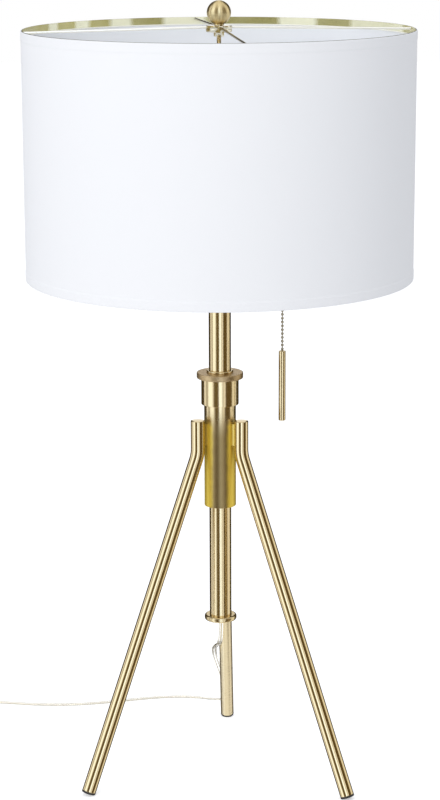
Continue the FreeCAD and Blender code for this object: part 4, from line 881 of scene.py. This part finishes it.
def make_lights(scene):
    """Cards for the brass to mirror, and two wide lamps that it doesn't."""
    for name, (first, last, colour) in CARDS.items():
        make_card(name, first, last, colour)
    for name, (place, size, power) in LAMPS.items():
        data = bpy.data.lights.new(name, "AREA")
        data.shape = "DISK"
        data.size = size
        data.energy = power
        lamp = bpy.data.objects.new(name, data)
        scene.collection.objects.link(lamp)
        aim = Vector((0.0, 0.0, 0.45)) - Vector(place)
        lamp.matrix_world = Matrix.Translation(place) @ aim.to_track_quat("-Z", "Y").to_matrix().to_4x4()
        lamp.visible_glossy = False


# ---- cord ------------------------------------------------------------------------------------------

COIL_MIDDLE = (-0.301, 0.154)
TAIL_REACH = 24.0 * MM
TAIL_OFFSET = 5.0 * MM
TAIL_TURN = math.radians(15.0)
PLUG_LIFT = 9.2 * MM


def coil_points(sizes):
    """Points of the coil's route.

    Turn t lies at angle 90 degrees + 360 t. The radius shrinks by a pitch a turn in the lower layer,
    stays over the half turn of the climb, and grows by a pitch a turn in the upper layer. It is
    divided by cos(180 / points) because the spline passes inside its points.
    """
    climb = 0.5
    total = sizes.low_turns + climb + sizes.high_turns
    turn = np.linspace(0.0, total, round(total * sizes.turn_points) + 1)
    after = np.clip(turn - sizes.low_turns - climb, 0.0, None)
    before = np.clip(sizes.low_turns - turn, 0.0, None)
    radius = coil_inside(sizes) + sizes.coil_pitch * (before + after)
    radius = radius / math.cos(math.pi / sizes.turn_points)
    height = sizes.thickness / 2 + sizes.tie + sizes.layer * eased((turn - sizes.low_turns) / climb)
    angle = math.pi / 2 + TURN * turn
    return circled(radius, angle, height) + [*COIL_MIDDLE, 0.0]


def coil_inside(sizes):
    """Radius of the coil's innermost turn."""
    return sizes.coil_radius - sizes.coil_pitch * sizes.low_turns


def cord_end(sizes):
    """Where the cord enters the plug, and its heading there."""
    last = coil_inside(sizes) + sizes.coil_pitch * sizes.high_turns
    heading = np.array([-math.cos(TAIL_TURN), math.sin(TAIL_TURN), 0.0])
    end = np.array([COIL_MIDDLE[0] - TAIL_REACH, COIL_MIDDLE[1] + last + TAIL_OFFSET, PLUG_LIFT])
    return end, heading


def cord_line(sizes):
    """The cord's centreline: a spline whose control points are the route's and the coil's."""
    end, heading = cord_end(sizes)
    coil = coil_points(sizes)
    middle = (coil[-1] + end) / 2 + [0.0, 0.0, -1.0 * MM]
    tail = [middle, end - heading * 5 * MM, end, end + heading * sizes.width]
    control = np.vstack([np.array(CORD_ROUTE) * MM, coil, tail])
    curve = bpy.data.curves.new("cord_route", "CURVE")
    curve.dimensions = "3D"
    spline = curve.splines.new("NURBS")
    spline.points.add(len(control) - 1)
    spline.points.foreach_set("co", np.hstack([control, np.ones((len(control), 1))]).ravel())
    spline.order_u = 3
    spline.use_endpoint_u = True
    spline.resolution_u = 6
    holder = bpy.data.objects.new("cord_route", curve)
    bpy.context.scene.collection.objects.link(holder)
    bpy.context.view_layer.update()
    line = bpy.data.meshes.new_from_object(holder)
    points = np.empty(len(line.vertices) * 3)
    line.vertices.foreach_get("co", points)
    bpy.data.objects.remove(holder)
    bpy.data.meshes.remove(line)
    bpy.data.curves.remove(curve)
    return points.reshape(-1, 3)


def twin_section(width, thickness, sides=40):
    """Figure-of-eight section of a twin cord.

    With a = w/2 cos t, the half height is h/2 |sin t|^0.62 (1 - 0.22 exp(-(a / 0.13 w)^2)).
    """
    angle = full_turn(sides)
    across = np.cos(angle) * width / 2
    waist = 1 - 0.22 * np.exp(-((across / (0.13 * width)) ** 2))
    high = squared_off(np.sin(angle)) * thickness / 2 * waist
    return np.stack([across, high], axis=1)


LEAN_HEIGHT = 40.0 * MM      # above it the cord stands on edge, at the floor it lies flat
STRAP_CORNER = 2.2 * MM
PLUG_RIB = 0.35 * MM
PLUG_RIB_PITCH = 2.2 * MM
PLUG_RELIEF = np.array([4.2, 3.0]) * MM      # half width and half height at the strain relief
PLUG_FRONT = np.array([12.3, 8.9]) * MM      # and at the front


class LampCord(bpy.types.Operator):
    """Clear flat cord with its two stranded wires, the coil's tie and the plug"""
    bl_idname = "lamp.cord"
    bl_label = "Cord"

    def execute(self, context):
        sizes = context.scene.lamp_cord
        path = cord_line(sizes)
        lean = eased(path[:, 2] / LEAN_HEIGHT)
        reference = np.stack([0 * lean, lean, 1 + 0 * lean], axis=1)
        outlet = tuple(float(v) for v in path[0])
        sheath = carried("cord_sheath", path, reference, twin_section(sizes.width, sizes.thickness))
        self.hung(sheath, outlet, "vinyl", "power_cord", "cord_coil")
        for name, side in (("cord_wire_a", -0.25), ("cord_wire_b", 0.25)):
            wire = carried(name, path, reference, ring_section(sizes.wire, 10), offset=side * sizes.width)
            self.hung(wire, outlet, "gold_wire")
        plug = self.plug(sizes)
        tie = self.tie(sizes)
        paint_node("plug_blades", "turned_brass")
        return {"FINISHED"}

    def hung(self, piece, outlet, finish, *nodes):
        """Finish a piece of the cord, bake its place and hide the nodes that it stands for; the outlet is
        not used.
        """
        piece.data.materials.append(finish_of(finish))
        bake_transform(piece)
        if nodes:
            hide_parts(*nodes)

    def tie(self, sizes):
        """Strap round the coil's bundle: a rounded rectangle carried along a short straight path."""
        near = coil_inside(sizes) - sizes.width / 2 - 1.2 * MM
        far = sizes.coil_radius + sizes.width / 2 + 0.7 * MM
        low, high = 0.05 * MM, sizes.tie * 2 + sizes.thickness + sizes.layer + 0.3 * MM
        corners = [(-far, low), (-near, low), (-near, high), (-far, high)]
        ring = rounded(corners, STRAP_CORNER, closed=True, steps=6)
        inward = ring - ring.mean(axis=0)
        thin = ring - inward / np.abs(inward).max(axis=1, keepdims=True) * sizes.tie * 0.9
        stations = np.array([-0.5, -0.47, 0.47, 0.5]) * sizes.tie_width
        rims = np.array([0.75, 1.0, 1.0, 0.75])[:, None, None]
        outer = thin + (ring - thin) * rims
        loop = np.concatenate([outer, np.broadcast_to(thin, outer.shape)])
        across = np.concatenate([stations, stations[::-1]])[:, None]
        points = np.stack([COIL_MIDDLE[0] + np.broadcast_to(across, loop.shape[:2]),
                           COIL_MIDDLE[1] + loop[..., 0], loop[..., 1]], axis=-1)
        piece = grid_piece("coil_strap", points, wrap_rows=True)
        return dressed(piece, "tripod", "strap", "tie_strap", "cord_tie")

    def plug(self, sizes):
        """Moulded plug: a rounded box section that widens from a ribbed strain relief to its front."""
        end, heading = cord_end(sizes)
        along = np.linspace(0.0, sizes.plug, 55)
        ease = eased((along - 3 * MM) / (15 * MM))
        on_relief = (along < 8.25 * MM) & (along > 1 * MM)
        ribs = PLUG_RIB * (np.sin(along / PLUG_RIB_PITCH * TURN) > 0) * on_relief
        front = np.clip((sizes.plug - along) / (1.2 * MM), 0.0, 1.0)
        round_off = 0.93 + 0.07 * np.sqrt(front)
        half = PLUG_RELIEF + ease[:, None] * (PLUG_FRONT - PLUG_RELIEF)
        half = (half + ribs[:, None]) * round_off[:, None]
        angle = full_turn(64)
        side = np.cross(heading, [0.0, 0.0, 1.0])
        across = (half[:, :1] * squared_off(np.cos(angle)))[..., None]
        high = (half[:, 1:] * squared_off(np.sin(angle)))[..., None]
        points = (end + along[:, None] * heading)[:, None] + across * side + high * [0.0, 0.0, 1.0]
        piece = grid_piece("plug_body", capped(points))
        return dressed(piece, "tripod", "plug_vinyl", "clear_cord", "mains_plug")


# ---- tripod ----------------------------------------------------------------------------------------

def leg_path(sizes, azimuth):
    """Centreline of a leg: upright, an arc of the splay's angle, then straight to the pad."""
    offset, radius, splay = sizes.leg_offset, sizes.leg_bend_radius, sizes.leg_splay
    centre = sizes.leg_bend + radius * math.tan(splay / 2)
    foot_height = pad_centre_height(sizes) + sizes.pad_thickness * math.cos(splay)
    foot_offset = offset + (sizes.leg_bend - foot_height) * math.tan(splay)
    turn = np.linspace(0.0, splay, 17)
    bend = np.stack([offset + radius - radius * np.cos(turn), centre - radius * np.sin(turn)], axis=1)
    top = np.linspace(sizes.leg_head, centre, 7)[:-1]
    upright = np.stack([np.full(len(top), offset), top], axis=1)
    share = np.linspace(0.0, 1.0, 60)[1:, None]
    straight = bend[-1] + share * (np.array([foot_offset, foot_height]) - bend[-1])
    flat = np.vstack([upright, bend, straight])
    around = math.radians(azimuth) + sizes.leg_turn
    return np.stack([flat[:, 0] * math.cos(around), flat[:, 0] * math.sin(around), flat[:, 1]], axis=1)


def pad_centre_height(sizes):
    """Height of the middle of a pad's underside."""
    return sizes.leg_width / 2 * math.sin(sizes.leg_splay) - sizes.pad_flat


class LampTripod(bpy.types.Operator):
    """Sleeve, legs with closed tops, and rubber pads"""
    bl_idname = "lamp.tripod"
    bl_label = "Tripod"

    def execute(self, context):
        sizes = context.scene.lamp_metal
        radius, foot, head = extent("sleeve")
        outline = tube_outline(radius - sizes.sleeve_wall, radius, foot, head, sizes.edge)
        dressed(turned("sleeve_tube", outline), "tripod", "sleeve_brass", "brass_satin", "sleeve")
        for side, azimuth in LEG_SIDES.items():
            self.leg(sizes, side, azimuth)
            self.pad(sizes, side, azimuth)
            paint_node("saddle_" + side, "brazed_brass")
        for name in ("threaded_neck", "lower_guide", "collet"):
            paint_node(name, "cast_brass")
        return {"FINISHED"}

    def leg(self, sizes, side, azimuth):
        """Tube with rounded rims: the section shrinks over the last half millimetre of both ends."""
        path = leg_path(sizes, azimuth)
        run = measured(path)
        edge = sizes.leg_edge
        extra = np.array([0.0, 0.1, 0.3, 0.6, 1.0, 1.3]) * edge
        stations = np.sort(np.concatenate([run[1:-1], extra, run[-1] - extra]))
        fine = np.stack([np.interp(stations, run, path[:, axis]) for axis in range(3)], axis=1)
        radius = sizes.leg_width / 2
        shrink = edge / radius * rounding(np.minimum(stations, run[-1] - stations) / edge)
        around = math.radians(azimuth) + sizes.leg_turn
        reference = np.array([-math.sin(around), math.cos(around), 0.0])
        piece = carried(f"leg_tube_{side}", fine, reference, ring_section(radius, 64),
                        scale=1 - shrink[:, None])
        finish = "rear_leg_painted_paler" if side == "rear" else "leg_brass"
        dressed(piece, "tripod", finish, "brass_satin", "leg_" + side)

    def pad(self, sizes, side, azimuth):
        """Round pad square to the leg; points below the floor are lifted to it."""
        path = leg_path(sizes, azimuth)
        axis = unit(path[-1] - path[-2])
        thickness, radius = sizes.pad_thickness, sizes.leg_width / 2 + sizes.pad_proud
        rims = rounded([(0.0, thickness), (radius, thickness), (radius, 0.0), (0.0, 0.0)],
                       sizes.pad_edge, closed=False)
        angle = full_turn(64)[:, None]
        side_way = unit(np.cross(axis, [0.0, 0.0, 1.0]))
        ring = np.cos(angle) * side_way + np.sin(angle) * np.cross(side_way, axis)
        points = path[-1] + rims[:, None, 1:] * axis + rims[:, None, :1] * ring
        points[..., 2] = np.maximum(points[..., 2], 0.0)
        piece = grid_piece(f"leg_pad_{side}", points)
        dressed(piece, "tripod", "pad_rubber", "pad_rubber", "foot_pad_" + side)


class LampLockNut(bpy.types.Operator):
    """Lock nut with its finely knurled flange, and the ring on it"""
    bl_idname = "lamp.lock_nut"
    bl_label = "Lock nut"

    def execute(self, context):
        sizes = context.scene.lamp_metal
        flange, foot, head = extent("lock_nut")
        bore = extent("column_tube")[0] + sizes.gap
        thread = extent("threaded_neck")[0] + sizes.gap
        skirt, edge = sizes.nut_skirt, sizes.nut_edge
        flange_foot = head - sizes.nut_flange
        outline = rounded([
            (bore, head), (flange, head), (flange, flange_foot), (skirt, flange_foot), (skirt, foot),
            (thread, foot), (thread, flange_foot - 2 * MM), (bore, flange_foot)],
            [0.2 * MM, edge, edge, 0.3 * MM, 1.5 * MM, 0.2 * MM, 0.2 * MM, 0.2 * MM], closed=True)
        rows = []
        for here, there in zip(outline, np.roll(outline, -1, axis=0)):
            on_rim = min(here[0], there[0]) > flange - 0.05 * MM
            share = np.linspace(0.0, 1.0, 13 if on_rim else 2)[:-1, None]
            rows.append(here + share * (there - here))

        def knurl(points, angle):
            """Crossed fine grooves on the flange's rim only."""
            turn = sizes.knurl_teeth * angle
            slant = points[:, 1:] * (TURN / sizes.knurl_pitch)
            diamonds = np.abs(np.sin((turn + slant) / 2)) * np.abs(np.sin((turn - slant) / 2))
            on_rim = points[:, :1] > flange - 0.06 * MM
            return np.where(on_rim, -sizes.knurl_depth * (1 - diamonds), 0.0)

        piece = turned("lock_nut_body", np.vstack(rows), segments=6 * sizes.knurl_teeth, ripple=knurl)
        dressed(piece, "lock_nut", "tube_brass", "brass_satin", "lock_nut")
        wiper, low, high = extent("wiper_ring")
        away, height = face_places(piece)
        finish_faces(piece, (height > flange_foot - 0.2 * MM) & (away > wiper), "grained_brass")
        outline = rounded([(bore, low), (wiper, low), (wiper, high), (bore, high)],
                          [0.1 * MM, 0.2 * MM, edge, 0.2 * MM], closed=True)
        dressed(turned("nut_ring", outline), "lock_nut", "turned_brass", "brass_satin", "wiper_ring")
        return {"FINISHED"}


# Half of the harp's control polygon above its upright feet, as shares of half its width and of its rise.
HARP_SHAPE = [(0.855, 0.34), (1.0, 0.52), (0.9, 0.74), (0.62, 0.92), (0.3, 1.0)]

COLUMN_FINISHES = {
    "stop_collar": "cast_brass", "head_plug": "cast_brass", "nipple_nut": "cast_brass",
    "harp_base": "cast_brass", "socket_cap": "cast_brass", "socket_shell": "cast_brass",
    "chain_arm": "cast_brass", "finial_stud": "hub_brass", "harp_clip_front": "cast_brass",
    "harp_clip_rear": "cast_brass", "nipple": "steel", "cord_bushing": "black_moulding",
    "switch_block": "black_moulding", "socket_liner": "fibre", "screw_shell": "aluminium",
    "centre_contact": "turned_brass", "inner_cord": "plug_vinyl",
}


class LampColumn(bpy.types.Operator):
    """Column tube, end ring, harp and the socket with its chain arm"""
    bl_idname = "lamp.column"
    bl_label = "Column"

    def execute(self, context):
        sizes = context.scene.lamp_metal
        radius, foot, head = extent("column_tube")
        outline = tube_outline(radius - sizes.tube_wall, radius, foot, head, 0.25 * MM)
        dressed(turned("column_stem", outline), "column", "tube_brass", "brass_satin", "column_tube")
        ring, low, high = extent("end_ring")
        seat, bore, lip = radius + 0.05 * MM, sizes.ring_bore, low + sizes.ring_lip
        outline = rounded(
            [(seat, high), (ring, high), (ring, low), (bore, low), (bore, lip), (seat, lip)],
            [0.15 * MM, sizes.ring_round, sizes.ring_round, 0.3 * MM, 0.1 * MM, 0.1 * MM],
            closed=True, steps=10)
        dressed(turned("end_bead", outline), "column", "ring_brass", "brass_satin", "end_ring")
        self.harp(context.scene.lamp_head)
        for name, finish in COLUMN_FINISHES.items():
            paint_node(name, finish)
        return {"FINISHED"}

    def harp(self, sizes):
        """Wire bow: a quadratic spline through the middles of its control polygon's sides."""
        low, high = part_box("harp")
        rise = high[2] - sizes.harp_wire / 2 - low[2]
        upright = [(sizes.harp_foot, 0.0), (sizes.harp_foot, sizes.harp_upright)]
        half = np.vstack([upright, np.array(HARP_SHAPE) * [sizes.harp_half, rise]])
        control = np.vstack([half, half[::-1] * [-1, 1]])
        middles = (control[1:] + control[:-1]) / 2
        step = np.linspace(0.0, 1.0, 13)[:-1]
        spans = [bow(start, corner, end, step)
                 for start, corner, end in zip(middles[:-1], control[1:-1], middles[1:])]
        first = np.linspace(control[0], middles[0], 6)[:-1]
        last = np.linspace(middles[-1], control[-1], 6)
        side, height = np.vstack([first, *spans, last]).T
        path = np.stack([0 * side, side, low[2] + height], axis=1)
        piece = carried("harp_bow", path, np.array([1.0, 0.0, 0.0]), ring_section(sizes.harp_wire / 2, 24))
        dressed(piece, "column", "tube_brass", "brass_satin", "harp")


class LampPullChain(bpy.types.Operator):
    """Bead chain and turned rod"""
    bl_idname = "lamp.pull_chain"
    bl_label = "Pull chain"

    def execute(self, context):
        sizes = context.scene.lamp_chain
        self.beads(sizes, "switch_beads", "pull_lead", "pull_switch")
        self.beads(sizes, "chain_beads", "pull_chain", "pull_chain")
        low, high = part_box("pull_rod")
        foot, head, floor = low[2], high[2], high[2] - sizes.rod_depth
        radius, bore, edge = sizes.rod, sizes.rod_bore, sizes.rod_edge
        outline = rounded(
            [(0.0, foot), (radius, foot), (radius, head), (bore, head), (bore, floor), (0.0, floor)],
            [0.0, edge, edge, 0.3 * MM, 0.2 * MM, 0.0], closed=False)
        rod = turned("rod", outline, closed=False, segments=64, centre=(sizes.reach, 0.0))
        dressed(rod, "pull_rod", "tube_brass", "brass_satin", "pull_rod")
        return {"FINISHED"}

    def beads(self, sizes, name, node, body):
        """String of beads: r = max(wire, sqrt(bead^2 - d^2)), d the height from the nearest bead."""
        low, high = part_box(node)
        count = round((high[2] - low[2]) / sizes.pitch)
        step = np.linspace(0.0, 1.0, 17)[:-1]
        turn = np.append((np.arange(count)[:, None] + step).ravel(), count)
        off = (np.append(np.tile(step, count), 0.0) - 0.5) * sizes.pitch
        radius = np.maximum(sizes.wire, np.sqrt(np.clip(sizes.bead ** 2 - off ** 2, 0.0, None)))
        height = low[2] + turn * sizes.pitch
        outline = np.vstack([[0.0, height[0]], np.stack([radius, height], axis=1), [0.0, height[-1]]])
        piece = turned(name, outline, closed=False, segments=20, centre=(sizes.reach, 0.0))
        dressed(piece, body, "chain_brass", "brass_satin", node)


# ---- shade -----------------------------------------------------------------------------------------

class LampShade(bpy.types.Operator):
    """Linen drum with its folded rims, the band, hoop and spider inside it"""
    bl_idname = "lamp.shade"
    bl_label = "Shade"

    def execute(self, context):
        sizes = context.scene.lamp_shade
        self.linen(sizes)
        self.band(sizes)
        self.hoop()
        self.hub(sizes)
        paint_node("spider_spokes", "spoke_brass")
        return {"FINISHED"}

    def linen(self, sizes):
        """Drum wall: proud by the hem's thickness along both rims, and by 0.6 of it along the seam.

        Each edge of hem and seam is 1 / (1 + exp(d / s)), d the distance past it.
        """
        radius, foot, head = extent("shade_drum")
        inner = radius - sizes.wall
        levels = np.concatenate([
            foot + np.linspace(0.0, 12.0, 25) * MM, np.linspace(foot + 14 * MM, head - 14 * MM, 40),
            head - np.linspace(12.0, 0.0, 25) * MM])
        angle = full_turn(360) - math.pi / 2
        from_rim = np.minimum(levels - foot, head - levels)[:, None]
        hem = 1 / (1 + np.exp((from_rim - sizes.hem) / (0.25 * MM)))
        from_seam = np.abs(angle - math.pi / 2) * radius
        seam = 1 / (1 + np.exp((from_seam - sizes.lap / 2) / (0.5 * MM)))
        lift = sizes.hem_lift * (np.maximum(hem, 0.6 * seam) - 0.6)
        outer = radius + lift - sizes.rim_round * rounding(from_rim / (0.6 * MM))
        inner_levels = np.array([head, head - 0.4 * MM, foot + 0.4 * MM, foot])
        inner_radius = inner + np.array([[0.25], [0.0], [0.0], [0.25]]) * MM
        points = np.concatenate([circled(outer, angle, levels[:, None]),
                                 circled(inner_radius, angle, inner_levels[:, None])])
        along = np.concatenate([levels, head + (head - inner_levels)])
        piece = grid_piece("shade_cloth", points, wrap_rows=True, uv=(angle * radius, along))
        dressed(piece, "shade", "linen", "linen", "shade_drum")
        away, _ = face_places(piece)
        finish_faces(piece, away < inner + 0.1 * MM, "lining")

    def band(self, sizes):
        """Brass strip with a cream bead along its lower edge, a painted highlight of a polished wire ring.

        Its outer face and its upper edge, which peeps over the linen, are painted dark: painted shade
        between band and linen.
        """
        radius, low, high = extent("shade_band")
        top, inner, tall = high + sizes.band_peep, radius - sizes.band_wall, sizes.tape
        arc = np.linspace(math.pi / 2, TURN * 3 / 4, 17)
        bead = np.stack([inner + sizes.rim_bead_proud * np.cos(arc), low + tall + tall * np.sin(arc)], axis=1)
        strip = rounded([(radius, low), (radius, top), (inner, top), (inner, low + 3 * tall)], 0.15 * MM,
                        closed=False)
        piece = turned("rim_band", np.vstack([strip, bead]), segments=256)
        dressed(piece, "shade", "band_brass", "brass_satin", "shade_band")
        away, height = face_places(piece)
        # Painted shade on the band's upper edge and outer face, painted highlight on the bead.
        on_edge = (height > top - 0.1 * MM) & (away > radius - 0.7 * MM)
        painted_dark = (away > radius - 0.3 * MM) | on_edge
        finish_faces(piece, np.where(height < low + 2 * tall, 2, painted_dark), "band_edge", "rim_wire_highlight")

    def hoop(self):
        """Steel wire: a circle carried round the axis."""
        radius, low, high = extent("shade_hoop")
        wire = (high - low) / 2
        outline = ring_section(wire, 20) + [radius - wire, low + wire]
        dressed(turned("rim_hoop", outline, segments=256), "shade", "steel", "steel_wire", "shade_hoop")

    def hub(self, sizes):
        """Hub with a rounded rim and a shallow turned groove round its middle."""
        radius, low, high = extent("spider_hub")
        middle, bore, groove = (low + high) / 2, sizes.hub_bore, sizes.hub_groove
        outline = rounded([
            (bore, low), (radius, low), (radius, middle - groove), (radius - 0.4 * MM, middle),
            (radius, middle + groove), (radius, high), (bore, high)],
            np.array([0.2, 0.9, 0.1, 0.1, 0.1, 0.9, 0.2]) * MM, closed=True)
        dressed(turned("spider_ring", outline), "shade", "hub_brass", "brass_satin", "spider_hub")


def globe_arc(radius, top, end, points):
    """Outline of a ball from its top down to the angle where it ends."""
    arc = np.linspace(0.0, end, points)
    return np.stack([radius * np.sin(arc), top - radius + radius * np.cos(arc)], axis=1)


class LampFinial(bpy.types.Operator):
    """Ball finial"""
    bl_idname = "lamp.finial"
    bl_label = "Finial"

    def execute(self, context):
        sizes = context.scene.lamp_head
        low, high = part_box("finial")
        foot, floor = low[2], low[2] + sizes.ball_depth
        neck, bore = sizes.ball_neck, sizes.ball_bore
        globe = globe_arc(sizes.ball, high[2], math.pi - math.asin(neck / sizes.ball), 60)
        end = rounded([globe[-1], (neck, foot), (bore, foot), (bore, floor), (0.0, floor)],
                      [0.0, 0.4 * MM, 0.2 * MM, 0.2 * MM, 0.0], closed=False)
        piece = turned("ball", np.vstack([globe, end[1:]]), closed=False, segments=96)
        dressed(piece, "finial", "aged_brass", "brass_aged", "finial")
        return {"FINISHED"}


class LampBulb(bpy.types.Operator):
    """Frosted bulb with its screw base"""
    bl_idname = "lamp.bulb"
    bl_label = "Bulb"

    def execute(self, context):
        sizes = context.scene.lamp_head
        low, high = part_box("bulb_globe")
        neck, slope = sizes.bulb_neck, sizes.bulb_slope
        globe = globe_arc(sizes.bulb, high[2], math.pi / 2 + slope, 48)
        shoulder = globe[-1, 1] - (globe[-1, 0] - neck) / math.tan(slope)
        flank = rounded([globe[-1], (neck, shoulder), (neck, low[2]), (0.0, low[2])],
                        [0.0, sizes.bulb_shoulder, 0.8 * MM, 0.0], closed=False, steps=12)
        piece = turned("bulb_glass", np.vstack([globe, flank[1:]]), closed=False, segments=96)
        dressed(piece, "bulb", "frosted", "frosted_glass", "bulb_globe")
        paint_node("bulb_base", "aluminium")
        paint_node("bulb_contact", "steel")
        return {"FINISHED"}


class LampPanel(bpy.types.Panel):
    """Lists the lamp's operators and sizes"""
    bl_idname = "VIEW3D_PT_lamp"
    bl_label = "Tripod table lamp"
    bl_space_type = "VIEW_3D"
    bl_region_type = "UI"
    bl_category = "Lamp"

    def draw(self, context):
        for operator in OPERATORS:
            self.layout.operator(operator.bl_idname)
        for name, group in SIZE_GROUPS.items():
            box = self.layout.box()
            for key in group.__annotations__:
                box.prop(getattr(context.scene, name), key, text=key.replace("_", " ").capitalize())


OPERATORS = [LampStage, LampCord, LampTripod, LampLockNut, LampColumn, LampPullChain, LampShade, LampFinial,
             LampBulb]


def register():
    """Register the size groups, the operators and the panel."""
    for group in SIZE_GROUPS.values():
        bpy.utils.register_class(group)
    for name, group in SIZE_GROUPS.items():
        setattr(bpy.types.Scene, name, PointerProperty(type=group))
    for operator in OPERATORS:
        bpy.utils.register_class(operator)
    bpy.utils.register_class(LampPanel)


def unregister():
    """Take back what register did, in reverse."""
    bpy.utils.unregister_class(LampPanel)
    for operator in reversed(OPERATORS):
        bpy.utils.unregister_class(operator)
    for name in SIZE_GROUPS:
        delattr(bpy.types.Scene, name)
    for group in SIZE_GROUPS.values():
        bpy.utils.unregister_class(group)


def main():
    """Make the whole lamp."""
    register()
    for operator in OPERATORS:
        getattr(bpy.ops.lamp, operator.bl_idname.split(".")[1])()


if __name__ == "__main__":
    main()
